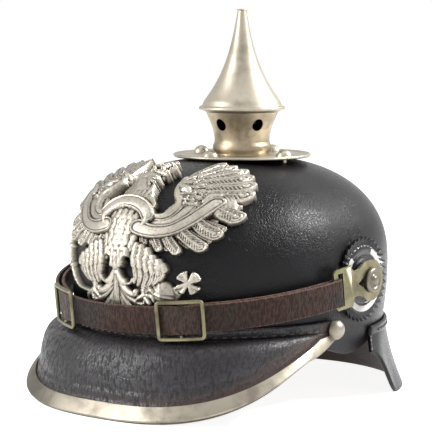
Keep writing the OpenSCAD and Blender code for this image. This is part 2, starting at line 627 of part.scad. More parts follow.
module eagle_plate() {
    color(white_metal) rotate([0, 0, eagle_turn]) difference() {
        union() {
            for (side = [0, 1]) mirror([side, 0, 0]) {
                wing();
                leg();
                // scrolls beside the tail
                mounds([[0, 42, 2.6, 4], [5, 30, 2.4, 3.8], [9, 18, 2.4, 3.4]]);
                mounds([[5, 30, 2.2, 3.4], [13, 23, 2.2, 3.2], [16, 17, 2.2, 3]]);
            }
            // breast and belly
            mounds([[0, 72, 11, breast_h], [0, 62, 13, breast_h], [0, 50, 10, breast_h * 0.8]]);
            // neck, head and beak, turned to the wearer's right
            mounds([[0, 76, 10, breast_h], [-1, 88, 8, 7.4], [-4, 98, 7.2, 7.4]]);
            mounds([[-5, 99, 6.6, 7.6], [-11, 100, 5, 7], [-19, 96, 1.8, 4.4]]);
            // crown
            mounds([[-6, 105, 6, 6.4], [-3, 111, 6.8, 6.4], [1, 115, 4.4, 5.4]]);
            // ribbon over the breast
            mounds([for (a = [-75 : 25 : 75]) [15 * sin(a), 64 + 15 * cos(a), 3.4, breast_h + 0.8]]);
            // tail
            mounds([[0, 47, 4.6, 4.6], [0, 33, 3.4, 4.4], [0, 17, 3.4, 3.8]]);
            // orb with its cross, and sceptre
            mounds([[25, 23, 4.8, 5.2], [27, 24, 4.8, 5.2]]);
            mounds([[30, 25, 1.8, 3.4], [35, 28, 1.8, 3.4], [41, 31, 2.2, 3.4]]);
            mounds([[35, 32.5, 2, 3.4], [39, 25, 2, 3.4]]);
            mounds([[-17, 23, 2.2, 3.8], [-30, 23, 1.8, 3.4], [-41, 29, 2, 3.4], [-48, 46, 2.2, 3.6]]);
        }
        dome(seat_gap + 0.1);
    }
}
loop_l = 16;
loop_y = surface_y(loop_x, loop_z) - 0.2;
wedge_at = loop_l - 3.2;
wedge_r = 1.8;
wedge_l = 14;
wedge_drop = 1;
// Loops soldered to the plate's back, passing through the skull to leather wedges inside
module eagle_loops() {
    color(old_brass) both_sides() translate([loop_x, loop_y, loop_z]) rotate([-90, 0, 0]) difference() {
        translate([-loop_slot_w / 2, -loop_slot_h / 2, 0]) cube([loop_slot_w, loop_slot_h, loop_l]);
        translate([0, 0, wedge_at]) rotate([90, 0, 0])
            cylinder(r = wedge_r + 0.2, h = loop_slot_h + 2, center = true);
    }
}
module eagle_wedges() {
    color(brown_leather) both_sides() translate([loop_x, loop_y + wedge_at, loop_z - wedge_drop])
        cylinder(r = wedge_r, h = wedge_l, center = true);
}

// Side posts, in line with each other: the strap swings about them
flat_x = skull_half_w + seat_gap;
cockade_r = cockade_d / 2;
cockade_hub_x = flat_x + 1;
cockade_t = 0.8;
tooth_count = 36;
layer_gap = lug_t + 0.3;
layer_off = (strap_t + layer_gap) / 2;
// The strap's middle line in its own plane: half an ellipse ahead of [0, strap_mid], seen from the posts
strap_mid = post_y - skull_mid;
mid_a = skull_half_w + strap_off - layer_off;
mid_b = (skull_front + strap_off - post_y) / cos(strap_slope) + strap_mid - layer_off;
// Points of the strap's middle line, off outside it, in the strap's own plane
function strap_point(t, off = 0) = let (n = strap_out(t))
    [mid_a * sin(t), strap_mid - mid_b * cos(t)] + n * off;
function strap_out(t) = unit([mid_b * sin(t), -mid_a * cos(t)]);
function strap_back(t) = [-strap_out(t)[1], strap_out(t)[0]];
tab_bend_y = 20;
tab_slot_l = 11;
loop_turn = acos((tab_bend_y + tab_slot_l * 0.95 + strap_mid) / mid_b);
lug_bend = atan2(strap_back(loop_turn)[0], strap_back(loop_turn)[1]);
lug_x = strap_point(loop_turn)[0] + tab_slot_l * sin(lug_bend) - lug_t / 2;
bend_y = strap_point(loop_turn)[1] + tab_slot_l * cos(lug_bend);
post_head_x = lug_x + lug_t + 0.15;
module at_post() {
    along_x(0, -post_y, post_z) children();
}
// The strap's own plane, leaning down to the front about the posts
module in_strap_plane() {
    translate([0, -post_y, post_z]) rotate([strap_slope, 0, 0]) children();
}
module cockade() {
    face_x = cockade_hub_x + cockade_t;
    color(black_paint) at_post() intersection() {
        rotate_extrude($fn = 72) polygon([
            [post_neck_r + hole_play, cockade_hub_x], [cockade_r * 0.6, cockade_hub_x - 0.1],
            [cockade_r + 1, flat_x], [cockade_r + 1, flat_x + cockade_t],
            [cockade_r * 0.86, face_x - 0.2], [cockade_r * 0.84, face_x],
            [cockade_r * 0.68, face_x], [cockade_r * 0.66, face_x - 0.3],
            [post_neck_r + hole_play, face_x - 0.2]]);
        linear_extrude(height = 200) polygon([for (i = [0 : 2 * tooth_count - 1])
            let (a = 180 * i / tooth_count, r = cockade_r * (i % 2 == 0 ? 1 : 0.9))
                [r * cos(a), r * sin(a)]]);
    }
}
module left_cockade() cockade();
module right_cockade() mirror([1, 0, 0]) cockade();
module post_collars() {
    color(white_metal) both_sides() at_post() translate([0, 0, flat_x]) difference() {
        cylinder(r = post_neck_r + 2, h = cockade_hub_x - flat_x - 0.05);
        translate([0, 0, -1]) cylinder(r = post_neck_r + hole_play, h = 4);
    }
}
post_washer_x = skull_half_w - skull_t - 0.5;
post_washer_t = 1;
post_washer_r = 5.8;
post_nut_w = 8;
post_nut_t = 2.6;
module post() {
    inner_x = post_washer_x - post_washer_t - post_nut_t - 1;
    color(white_metal) at_post() {
        translate([0, 0, inner_x]) cylinder(r = post_shank_r, h = post_head_x - inner_x);
        translate([0, 0, flat_x - 0.2]) cylinder(r = post_neck_r, h = post_head_x - flat_x + 0.4);
        // the head: a dished boss with a round nipple in its middle
        translate([0, 0, post_head_x]) rotate_extrude() polygon([[0, 0], [post_head_r - 0.8, 0],
            [post_head_r, 0.9], [post_head_r - 0.5, 2], [post_head_r - 1.4, 2.5], [post_head_r - 2.4, 2],
            [3.3, 1.6], [2.9, 2.1], [2.3, 3], [1.2, 3.5], [0, 3.6]]);
    }
}
module left_post() post();
module right_post() mirror([1, 0, 0]) post();
module post_washers() {
    color(white_metal) both_sides() at_post() translate([0, 0, post_washer_x - post_washer_t]) difference() {
        cylinder(r = post_washer_r, h = post_washer_t);
        translate([0, 0, -1]) cylinder(r = post_shank_r + hole_play, h = post_washer_t + 2);
    }
}
module post_nuts() {
    nut_x = post_washer_x - post_washer_t - post_nut_t - 0.05;
    color(old_brass) both_sides() at_post() translate([0, 0, nut_x]) difference() {
        translate([-post_nut_w / 2, -post_nut_w / 2, 0]) cube([post_nut_w, post_nut_w, post_nut_t]);
        translate([0, 0, -1]) cylinder(r = post_shank_r + 0.05, h = post_nut_t + 2);
    }
}
// A lug: a disc on the post, a waisted plate and a bent tab with the strap's slot
disc_r = 11.5;
slot_l = 4;
// The strap hangs at the slot's lower end, so the slot and the tab reach further up than down
slot_low = strap_w / 2 + 0.6;
slot_high = strap_w / 2 + 2.8;
tab_low = slot_low + 1.9;
tab_high = slot_high + 2.6;
tab_l = tab_slot_l + 3;
// Outline of the waisted plate between the disc and the bend, as [down, back]
lug_outline = [[-disc_r - 0.3, -1.5], [-disc_r, -6], [-9.2, -11], [-8.7, -14.2], [-9.4, -17.1],
    [-11, bend_y + 1], [-tab_high, bend_y], [tab_low, bend_y], [6.6, bend_y + 1.4], [5.6, -17],
    [5.4, -14.8], [7, -10], [9, -6.7], [disc_r - 0.6, -3]];
module lug() {
    color(old_brass) in_strap_plane() difference() {
        union() {
            along_x(lug_x, 0, 0) cylinder(r = disc_r, h = lug_t);
            along_x(lug_x, 0, 0) linear_extrude(height = lug_t) polygon(lug_outline);
            translate([lug_x + lug_t / 2, bend_y, -tab_low]) cylinder(r = lug_t / 2, h = tab_low + tab_high);
            translate([lug_x + lug_t / 2, bend_y, 0]) rotate([0, 0, -lug_bend])
                translate([-lug_t / 2, -tab_l, 0]) rotate([0, 90, 0]) linear_extrude(height = lug_t)
                polygon([[-tab_high, tab_l], [-tab_high, 2], [-tab_high + 2, 0], [tab_low - 2, 0],
                    [tab_low, 2], [tab_low, tab_l]]);
        }
        along_x(lug_x - 5, 0, 0) cylinder(r = post_neck_r + post_play, h = 10);
        along_x(lug_x - 5, 0, 0) linear_extrude(height = 10)
            polygon([[-4, -post_head_r + 1], [4, -post_head_r + 1], [-1, -disc_r - 1.5]]);
        translate([lug_x + lug_t / 2, bend_y, -slot_low]) rotate([0, 0, -lug_bend])
            translate([-5, -tab_slot_l + 0.3, 0]) cube([10, slot_l, slot_low + slot_high]);
    }
}
module left_lug() lug();
module right_lug() mirror([1, 0, 0]) lug();

// Chin strap: out of one buckle, round one lug, across the front and back the same way
strap_steps = 44;
buckle_end_turn = buckle_turn + 2.6;
strap_path = let (c = strap_point(loop_turn), n = strap_out(loop_turn), b = strap_back(loop_turn),
        inner_turn = loop_turn - buckle_end_turn,
        side = concat([for (i = [0 : 10]) strap_point(buckle_end_turn + inner_turn * i / 10, -layer_off)],
            [for (a = [150 : -30 : 30]) c + (n * cos(a) + b * sin(a)) * layer_off]),
        front = [for (i = [0 : strap_steps]) strap_point(loop_turn * (1 - 2 * i / strap_steps), layer_off)])
    concat(side, front, [for (i = [len(side) - 1 : -1 : 0]) [-side[i][0], side[i][1]]]);
function path_normal(path, i) = let (
        d = unit(path[min(len(path) - 1, i + 1)] - path[max(0, i - 1)])) [d[1], -d[0]];
module chinstrap() {
    color(brown_leather) in_strap_plane() ring_sweep([for (i = [0 : len(strap_path) - 1])
        let (p = strap_path[i], n = path_normal(strap_path, i) * strap_t / 2)
        [[p[0] + n[0], p[1] + n[1], -strap_w / 2], [p[0] - n[0], p[1] - n[1], -strap_w / 2],
        [p[0] - n[0], p[1] - n[1], strap_w / 2], [p[0] + n[0], p[1] + n[1], strap_w / 2]]]);
}
// A buckle slides on the strap: its wires follow a circle that fits the strap's curve there
function curve_r(t) = pow(pow(mid_a * cos(t), 2) + pow(mid_b * sin(t), 2), 1.5) / (mid_a * mid_b);
buckle_r = curve_r(buckle_turn);
buckle_mid = strap_point(buckle_turn) - strap_out(buckle_turn) * buckle_r;
buckle_dir = atan2(strap_out(buckle_turn)[0], -strap_out(buckle_turn)[1]);
wire_r = buckle_wire_d / 2;
buckle_wire_off = layer_off + strap_t / 2 + 0.4 + wire_r;
buckle_bar_off = layer_off - strap_t / 2 - 0.3 - wire_r;
function wire_point(a, off, z) = [(buckle_r + off) * sin(a), -(buckle_r + off) * cos(a), z];
// The frame's line: a rectangle with round corners, whose long sides dip in the middle to carry the bar
module buckle() {
    half_w = (buckle_w - buckle_wire_d) / 2;
    half_h = (buckle_h - buckle_wire_d) / 2;
    half_a = asin(half_w / (buckle_r + buckle_wire_off));
    corner = 2;
    corner_a = half_a * corner / half_w;
    dip = buckle_wire_off - buckle_bar_off;
    quarter = concat(
        [for (u = [0 : 0.2 : 1]) [u * (half_a - corner_a), half_h]],
        [for (q = [60, 30, 0]) [half_a - corner_a * (1 - cos(q)), half_h - corner * (1 - sin(q))]]);
    upper = concat(quarter, [for (i = [len(quarter) - 1 : -1 : 0]) [quarter[i][0], -quarter[i][1]]]);
    loop = concat(upper, [for (i = [len(upper) - 2 : -1 : 1]) [-upper[i][0], upper[i][1]]]);
    line = [for (p = loop) wire_point(p[0], buckle_wire_off
        - (abs(p[1]) > half_h - 0.1 ? dip * (1 - smooth(abs(p[0]) / half_a / 0.8)) : 0), p[1])];
    bar = wire_point(0, buckle_bar_off, 0);
    color(old_brass) in_strap_plane() translate([buckle_mid[0], buckle_mid[1], 0])
        rotate([0, 0, buckle_dir]) {
            loop_sweep(wire_rings(line, wire_r));
            translate(bar - [0, 0, half_h]) cylinder(r = wire_r, h = 2 * half_h, $fn = 16);
        }
}
// Eight-sided rings of radius r square to a closed line
function wire_rings(line, r) = let (n = len(line)) [for (i = [0 : n - 1])
    let (d = unit(line[(i + 1) % n] - line[(i + n - 1) % n]), out = unit([line[i][0], line[i][1], 0]),
        e1 = unit(out - d * (out * d)), e2 = cross(d, e1))
    [for (a = [22.5 : 45 : 360]) line[i] + (e1 * cos(a) + e2 * sin(a)) * r]];
module left_buckle() buckle();
module right_buckle() mirror([1, 0, 0]) buckle();

// Liner: a sweatband that stands off the skull and tongues that meet under the crown
liner_top_r = skull_half_w - skull_t - 8.4;
tongue_steps = 7;
function liner_line(off) = concat(
    [[skull_half_w * shrink(rim_z) - skull_t - 0.5 + off, rim_z + 0.5],
    [skull_half_w - skull_t - 5 + off, 8], [liner_top_r + off, band_h]],
    [for (i = [1 : tongue_steps]) let (b = 90 * i / tongue_steps)
        [tongue_tip_r + (liner_top_r - tongue_tip_r) * cos(b) + off * cos(b),
        band_h + (tongue_tip_z - band_h) * sin(b) + off * sin(b)]]);
liner_outline = let (inner = liner_line(-liner_t))
    concat(liner_line(0), [for (i = [len(inner) - 1 : -1 : 0]) inner[i]]);
module liner_half(reach) {
    scale([1, reach / skull_half_w, 1]) rotate_extrude(angle = 180, $fn = 60) polygon(liner_outline);
}
module sweatband() {
    color(brown_leather) difference() {
        union() {
            translate([0, -skull_mid, 0]) rotate([0, 0, 180]) liner_half(front_l);
            straight(liner_outline);
            liner_half(skull_rear);
        }
        for (i = [0 : tongue_count - 1]) rotate([0, 0, 360 * (i + 0.5) / tongue_count])
            translate([0, 0, band_h + 6]) linear_extrude(height = 80)
            polygon([[-1, 0], [1, 0], [4, -big / 2], [-4, -big / 2]]);
        hull() for (y = [-skull_mid, 0]) translate([0, y, 0]) cylinder(r = tongue_tip_r + 1, h = 100);
    }
}
// The drawstring lies on the tongues' tips and follows the liner's outline
drawstring_share = (tongue_tip_r + 6) / skull_half_w;
drawstring_z = tongue_tip_z + drawstring_d / 2 + 0.15;
drawstring_line = [for (a = [3 : 6 : 357]) [skull_half_w * drawstring_share * sin(a),
    cos(a) > 0 ? -skull_mid - front_l * drawstring_share * cos(a) : -skull_rear * drawstring_share * cos(a),
    drawstring_z]];
module drawstring() {
    color(cotton) loop_sweep(wire_rings(drawstring_line, drawstring_d / 2));
}
stand() skull();
stand() front_visor();
stand_flat() rear_visor();
stand() front_visor_stitching();
stand() rear_visor_stitching();
stand_flat() front_visor_trim();
stand() trim_end_studs();
stand() rear_spine();
stand() rear_spine_stud();
stand() base_plate();
stand() base_plate_studs();
stand() stud_washers();
stand() spike_neck();
stand() neck_socket();
stand() spike();
stand() spike_spigot();
stand() eagle_plate();
stand() eagle_loops();
stand() eagle_wedges();
stand() left_cockade();
stand() right_cockade();
stand() post_collars();
stand() left_post();
stand() right_post();
stand() post_washers();
stand() post_nuts();
stand() left_lug();
stand() right_lug();
stand() chinstrap();
stand() left_buckle();
stand() right_buckle();
stand() sweatband();
stand() drawstring();
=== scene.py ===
"""Visual model of a spiked leather dress helmet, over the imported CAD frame."""
import json
import math

import bmesh
import bpy
import numpy as np
from bpy.props import FloatProperty, FloatVectorProperty
from mathutils import Matrix, Vector


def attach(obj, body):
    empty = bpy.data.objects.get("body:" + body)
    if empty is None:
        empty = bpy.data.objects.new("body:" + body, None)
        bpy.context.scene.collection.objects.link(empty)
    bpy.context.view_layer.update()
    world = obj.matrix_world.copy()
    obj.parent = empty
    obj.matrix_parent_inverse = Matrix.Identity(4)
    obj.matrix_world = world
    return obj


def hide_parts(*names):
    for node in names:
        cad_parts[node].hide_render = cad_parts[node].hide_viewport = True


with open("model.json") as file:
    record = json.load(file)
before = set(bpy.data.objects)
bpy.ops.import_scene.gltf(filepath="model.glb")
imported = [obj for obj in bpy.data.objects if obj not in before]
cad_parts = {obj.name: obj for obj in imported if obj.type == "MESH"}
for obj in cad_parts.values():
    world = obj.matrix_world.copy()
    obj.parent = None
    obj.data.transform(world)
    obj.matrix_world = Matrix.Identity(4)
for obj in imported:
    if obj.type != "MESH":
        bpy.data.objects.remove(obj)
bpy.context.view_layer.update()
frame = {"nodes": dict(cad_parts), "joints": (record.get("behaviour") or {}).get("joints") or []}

bl_info = {
    "name": "Spiked dress helmet",
    "version": (1, 0, 0),
    "blender": (4, 5, 0),
    "location": "View3D > Sidebar > Helmet",
    "description": "Builds the visual pieces, materials and stage of a spiked leather dress helmet",
    "category": "Object",
}

# Sizes of the CAD part in mm, in the helmet's own frame: spike axis Z, visor seam z = 0, front -Y
SKULL_W, SKULL_FRONT, SKULL_MID, SKULL_REAR = 83.5, 90.5, 18.0, 89.0
CROWN, WALL, SKIRT, TAPER, POWER = 90.8, 29.5, 15.5, 0.06, 2.34
SKULL_T, VISOR_T, SEAT_GAP, FLANGE = 2.6, 2.4, 0.3, 5.0
POST_Y, POST_Z = 1.3, 25.9
JOINTS = {joint["name"]: joint for joint in frame["joints"]}
AXIS = JOINTS["spike_turn"]["axis"]
LEAN = math.atan2(-AXIS[1], AXIS[2])
MM = 0.001
UV_LENGTH = 100    # mm of surface to one unit of UV
WELD = 1e-7
ROUND = (60, 30, 0, -30, -60)    # degrees at which the points of a rounded edge lie
CAP = 0.02    # what is left of the ring at a closed end
SIDES = (("left", 1), ("right", -1))


def colour_of(name, description, default):
    return FloatVectorProperty(name=name, description=description, default=(*default, 1.0), size=4,
                               min=0, max=1, subtype="COLOR")


def size_of(name, description, default, low, high):
    return FloatProperty(name=name, description=description, default=default, min=low, max=high,
                         precision=5, unit="LENGTH")


def power_of(name, description, default):
    return FloatProperty(name=name, description=description, default=default, min=0, unit="POWER")


class HelmetColours(bpy.types.PropertyGroup):
    """Colours of the helmet's materials."""
    skull_leather: colour_of("Skull leather", "Blackened leather of the skull",
                             (0.0075, 0.0066, 0.0082))
    visor_leather: colour_of("Visor leather", "Ridges of the wrinkled visor leather",
                             (0.034, 0.029, 0.034))
    worn_leather: colour_of("Worn leather", "Brown where the black has rubbed off",
                            (0.05, 0.026, 0.017))
    strap_leather: colour_of("Strap leather", "Brown of the chin strap", (0.034, 0.013, 0.008))
    strap_edge: colour_of("Strap edge", "Pale cut edges of the chin strap", (0.17, 0.1, 0.075))
    liner_leather: colour_of("Liner leather", "Sweatband, wedges and washers", (0.26, 0.16, 0.1))
    white_metal: colour_of("White metal", "Spike, base plate and trim", (0.49, 0.44, 0.355))
    neck_metal: colour_of("Neck metal", "Tarnished neck under the spike", (0.38, 0.315, 0.22))
    eagle_metal: colour_of("Eagle metal", "Raised parts of the eagle plate", (0.45, 0.415, 0.355))
    old_brass: colour_of("Old brass", "Buckles and strap lugs", (0.2, 0.18, 0.11))
    brass: colour_of("Brass", "Nuts, spigot and other hidden fittings", (0.6, 0.47, 0.24))
    thread: colour_of("Thread", "Waxed thread of the seams", (0.12, 0.11, 0.1))
    cord: colour_of("Cord", "Cotton drawstring of the liner", (0.52, 0.46, 0.35))
    ring_paint: colour_of("Ring paint", "White ring of the cockades", (0.78, 0.77, 0.74))
    lacquer: colour_of("Lacquer", "Black lacquer of the cockades", (0.02, 0.02, 0.023))


class HelmetSizes(bpy.types.PropertyGroup):
    """Sizes of the helmet's details, apart from what the CAD part fixes."""
    relief_cell: size_of("Relief cell", "Spacing of the points that carry the eagle's relief",
                         0.00034, 0.0003, 0.002)
    barb_depth: size_of("Barb depth", "Height of the barbs on the long feathers", 0.0003, 0.0, 0.0006)
    ring_inner: size_of("Ring radius", "Inner radius of the cockades' white ring",
                        0.0151, 0.0145, 0.0158)
    tooth_depth: size_of("Tooth depth", "Height of the cockades' folded teeth", 0.00115, 0.0, 0.0015)
    stitch_thickness: size_of("Stitch thickness", "Thickness of the seams' thread",
                              0.00124, 0.0008, 0.0014)
    strap_round: size_of("Strap edge radius", "Rounding of the chin strap's edges",
                         0.00055, 0.0002, 0.0009)
    press_line: size_of("Pressed line", "Height of the line pressed above the visor's trim",
                        0.00045, 0.0, 0.0008)


class HelmetStage(bpy.types.PropertyGroup):
    """Light of the stage."""
    key_power: power_of("Key light", "Power of the light at the front", 7.5)
    back_power: power_of("Back light", "Power of the light at the back right", 22.0)
    low_power: power_of("Low light", "Power of the low light before the visor", 7.5)
    side_power: power_of("Side light", "Power of the strip at the right", 0.8)
    top_power: power_of("Top light", "Power of the light above", 3.0)


def colours():
    return bpy.context.scene.helmet_colours


def detail(name):
    """A detail's size in mm."""
    return getattr(bpy.context.scene.helmet_sizes, name) / MM


def lean_rows(points):
    """Points in mm of the helmet's own frame, leant as it stands, without the shift."""
    out = np.array(points, float)
    y, z = out[..., 1].copy(), out[..., 2].copy()
    out[..., 1] = y * math.cos(LEAN) - z * math.sin(LEAN)
    out[..., 2] = y * math.sin(LEAN) + z * math.cos(LEAN)
    return out


SHIFT = np.array(JOINTS["strap_swing"]["pos_m"]) / MM - lean_rows([0, -POST_Y, POST_Z])


def to_row(points):
    """Points in mm of the helmet's own frame to metres of the row frame."""
    return (lean_rows(points) + SHIFT) * MM


def smooth(u):
    c = np.clip(u, 0, 1)
    return c * c * (3 - 2 * c)


def unit(v):
    return v / np.maximum(np.linalg.norm(v, axis=-1, keepdims=True), 1e-9)


def cos_sin(degrees):
    a = math.radians(degrees)
    return math.cos(a), math.sin(a)


def run_of(line):
    """The length run at each point of a line."""
    return np.concatenate([[0], np.cumsum(np.linalg.norm(np.diff(line, axis=0), axis=1))])


def shrink(z, off=0.0):
    """The skull's radius at height z as a share of its widest one."""
    z = np.asarray(z, float)
    u = np.clip((z - WALL) / (CROWN + off - WALL), 0, 1)
    return np.where(z <= WALL, 1 - TAPER * ((WALL - z) / (WALL + SKIRT)) ** 2,
                    (1 - u ** POWER) ** (1 / POWER))


def dome_arc(b, off=0.0):
    """The radius, as a share of the widest one, and the height, b radians up the dome's curve."""
    return np.cos(b) ** (2 / POWER), WALL + (CROWN + off - WALL) * np.sin(b) ** (2 / POWER)


def skull_point(turn, z, off=0.0):
    """A point of the skull's surface, turn degrees round from the front."""
    a = np.radians(turn)
    g = shrink(z, off)
    c = np.cos(a)
    y = np.where(c > 0, -SKULL_MID - (SKULL_FRONT + off) * g * c, -(SKULL_REAR + off) * g * c)
    x = (SKULL_W + off) * g * np.sin(a)
    return np.stack([x, y, z + 0 * x], -1)


def along(line, count, close=False):
    """count points spread evenly along a smooth curve through a few."""
    pts = np.array(line, float)
    if close:
        pts = np.vstack([pts[-1:], pts, pts[:2]])
    else:
        pts = np.vstack([2 * pts[:1] - pts[1:2], pts, 2 * pts[-1:] - pts[-2:-1]])
    u = np.linspace(0, 1, 12, endpoint=False)[:, None]
    dense = []
    for a, b, c, d in zip(pts[:-3], pts[1:-2], pts[2:-1], pts[3:]):
        dense.append(0.5 * (2 * b + (c - a) * u + (2 * a - 5 * b + 4 * c - d) * u ** 2
                            + (3 * b - a - 3 * c + d) * u ** 3))
    dense = np.vstack(dense + [pts[-2:-1]])
    run = run_of(dense)
    at = np.linspace(0, run[-1], count, endpoint=not close)
    return np.stack([np.interp(at, run, dense[:, k]) for k in range(dense.shape[1])], -1)


def add_object(name, data):
    obj = bpy.data.objects.new(name, data)
    bpy.context.scene.collection.objects.link(obj)
    return obj


def finish_mesh(name, bm, body, slot, nodes=(), sharp=40, look=None, facing=None):
    """A mesh object from bm, which rides on body and stands for CAD nodes."""
    bmesh.ops.recalc_face_normals(bm, faces=bm.faces)
    if facing is not None and sum(face.normal.dot(facing) for face in bm.faces) < 0:
        bmesh.ops.reverse_faces(bm, faces=bm.faces)
    mesh = bpy.data.meshes.new(name)
    bm.to_mesh(mesh)
    bm.free()
    mesh.shade_smooth()
    mesh.set_sharp_from_angle(angle=math.radians(sharp))
    obj = add_object(name, mesh)
    mesh.materials.append(material(look or slot))
    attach(obj, body)
    if nodes:
        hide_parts(*nodes)
    return obj


def new_grid(bm, gu, gv):
    """A grid of gu by gv vertices in bm, as [vertex, its u number, its v number]."""
    verts = bmesh.ops.create_grid(bm, x_segments=gv - 1, y_segments=gu - 1, size=1)["verts"]
    return [(vert, round((vert.co.y + 1) / 2 * (gu - 1)), round((vert.co.x + 1) / 2 * (gv - 1)))
            for vert in verts]


def skin(bm, points, wrap_u=False, wrap_v=False, tone=None):
    """Adds a skin of quads over points[u, v], in mm of the helmet's own frame, to bm."""
    points = np.asarray(points, float)
    nu, nv = points.shape[:2]
    layer = bm.verts.layers.float.get("tone") or bm.verts.layers.float.new("tone")
    uv = bm.loops.layers.uv.verify()
    place = to_row(points)
    run_u, run_v = run_of(points[:, nv // 2]), run_of(points[nu // 2])
    run_u = np.append(run_u, run_u[-1] + run_u[1]) / UV_LENGTH
    run_v = np.append(run_v, run_v[-1] + run_v[1]) / UV_LENGTH
    flat = {}
    for vert, i, j in new_grid(bm, nu + wrap_u, nv + wrap_v):
        flat[vert] = (run_u[i], run_v[j])
        vert.co = place[i % nu, j % nv]
        if tone is not None:
            vert[layer] = tone[i % nu, j % nv]
    for face in {face for vert in flat for face in vert.link_faces}:
        for loop in face.loops:
            loop[uv].uv = flat[loop.vert]
    if wrap_u or wrap_v:
        bmesh.ops.remove_doubles(bm, verts=list(flat), dist=WELD)


def lathe(bm, profile, count=144, place=lambda p: p):
    """Turns a profile of [radius, height] about Z, then places it."""
    profile = np.array(profile, float)
    a = np.linspace(0, 2 * np.pi, count, endpoint=False)
    points = np.stack([np.outer(profile[:, 0], np.cos(a)), np.outer(profile[:, 0], np.sin(a)),
                       np.repeat(profile[:, 1:2], count, 1)], -1)
    skin(bm, place(points), wrap_v=True)
    bmesh.ops.remove_doubles(bm, verts=bm.verts, dist=WELD)


def sweep_normals(rows):
    along_u = np.gradient(rows, axis=0)
    along_v = np.gradient(rows, axis=1)
    return unit(np.cross(along_v, along_u))


def rounded(mid, n, way, r, soft, angles):
    """Rows of points round an edge, from the side that n points to over the edge's own way."""
    return [mid + (n * s + way * c * soft) * r for c, s in map(cos_sin, angles)]


def sheet(bm, outer, t, out=1):
    """A closed sheet of thickness t under rows of outer points, with rounded edges on all sides."""
    n = sweep_normals(outer) * out
    mid = outer - n * t / 2
    r, soft = t / 2, 0.9
    head = unit(outer[:, 0] - outer[:, 1])
    foot = unit(outer[:, -1] - outer[:, -2])
    columns = range(outer.shape[1])
    ring = [mid[:, j] + n[:, j] * r for j in columns]
    ring += rounded(mid[:, -1], n[:, -1], foot, r, soft, ROUND)
    ring += [mid[:, j] - n[:, j] * r for j in reversed(columns)]
    ring += rounded(mid[:, 0], n[:, 0], head, r, soft, ROUND[::-1])
    ring = np.stack(ring, 1)
    core = [mid[:, j] for j in columns]
    core += [mid[:, -1]] * len(ROUND) + core[::-1] + [mid[:, 0]] * len(ROUND)
    core = np.stack(core, 1)
    ends = []
    for i, k in ((0, 1), (-1, -2)):
        push = unit(outer[i] - outer[k]).mean(0) * r * soft
        ends.append((core[i] + push, core[i] + (ring[i] - core[i]) * 0.7 + push * 0.7))
    rows = np.concatenate([[ends[0][0], ends[0][1]], ring, [ends[1][1], ends[1][0]]])
    skin(bm, rows, wrap_v=True)


def capped(rows):
    """Rings of points with each end drawn in to close it."""
    middles = rows.mean(1, keepdims=True)
    small = middles + (rows - middles) * CAP
    return np.concatenate([small[:1], rows, small[-1:]])


def tube(bm, line, section, closed=False, up=(0, 0, 1), place=lambda p: p, tone=None):
    """Sweeps a closed section of [out, up] along a line; its second axis leans towards up."""
    line = np.asarray(line, float)
    ahead = unit(np.roll(line, -1, 0) - np.roll(line, 1, 0) if closed else np.gradient(line, axis=0))
    side = unit(np.cross(ahead, np.array(up, float)))
    rise = np.cross(side, ahead)
    section = np.asarray(section, float)
    if section.ndim == 2:
        section = np.repeat(section[None], len(line), 0)
    rows = line[:, None] + side[:, None] * section[..., :1] + rise[:, None] * section[..., 1:]
    if not closed:
        rows = capped(rows)
    tones = None if tone is None else np.repeat(np.array(tone, float)[None], len(rows), 0)
    skin(bm, place(rows), wrap_u=closed, wrap_v=True, tone=tones)


def round_box(w, h, r, steps=4):
    """A closed outline of a w by h box with round corners."""
    out = []
    for k, (sx, sy) in enumerate(((1, 1), (-1, 1), (-1, -1), (1, -1))):
        for i in range(steps + 1):
            c, s = cos_sin(90 * k + 90 * i / steps)
            out.append((sx * (w / 2 - r) + r * c, sy * (h / 2 - r) + r * s))
    return np.array(out)


# Node trees: small helpers, shared effects as groups, then the materials

def node(tree, kind, inputs=None, **settings):
    """A shader node; inputs map a name or number to a value or to another node's socket."""
    new = tree.nodes.new(kind)
    for key, value in settings.items():
        setattr(new, key, value)
    for key, value in (inputs or {}).items():
        if isinstance(value, bpy.types.NodeSocket):
            tree.links.new(value, new.inputs[key])
        else:
            new.inputs[key].default_value = value
    return new


def ramp(tree, value, low, high, to_low=0.0, to_high=1.0):
    return node(tree, "ShaderNodeMapRange", {0: value, 1: low, 2: high, 3: to_low, 4: to_high},
                interpolation_type="SMOOTHSTEP").outputs[0]


def maths(tree, operation, a, b):
    return node(tree, "ShaderNodeMath", {0: a, 1: b}, operation=operation).outputs[0]


def times(tree, a, b):
    return maths(tree, "MULTIPLY", a, b)


def plus(tree, a, b):
    return maths(tree, "ADD", a, b)


def mix(tree, share, a, b):
    return node(tree, "ShaderNodeMix", {0: share, 6: a, 7: b}, data_type="RGBA").outputs[2]


def stretched(tree, vector, scale):
    return node(tree, "ShaderNodeVectorMath", {0: vector, 1: scale}, operation="MULTIPLY").outputs[0]


def noise(tree, vector, scale, octaves=4.0, distortion=0.0, rough=0.55):
    return node(tree, "ShaderNodeTexNoise", {"Vector": vector, "Scale": scale, "Detail": octaves,
                                             "Roughness": rough, "Distortion": distortion}).outputs[0]


def cells(tree, vector, scale):
    """How far the borders between cells are."""
    return node(tree, "ShaderNodeTexVoronoi", {"Vector": vector, "Scale": scale},
                feature="DISTANCE_TO_EDGE").outputs["Distance"]


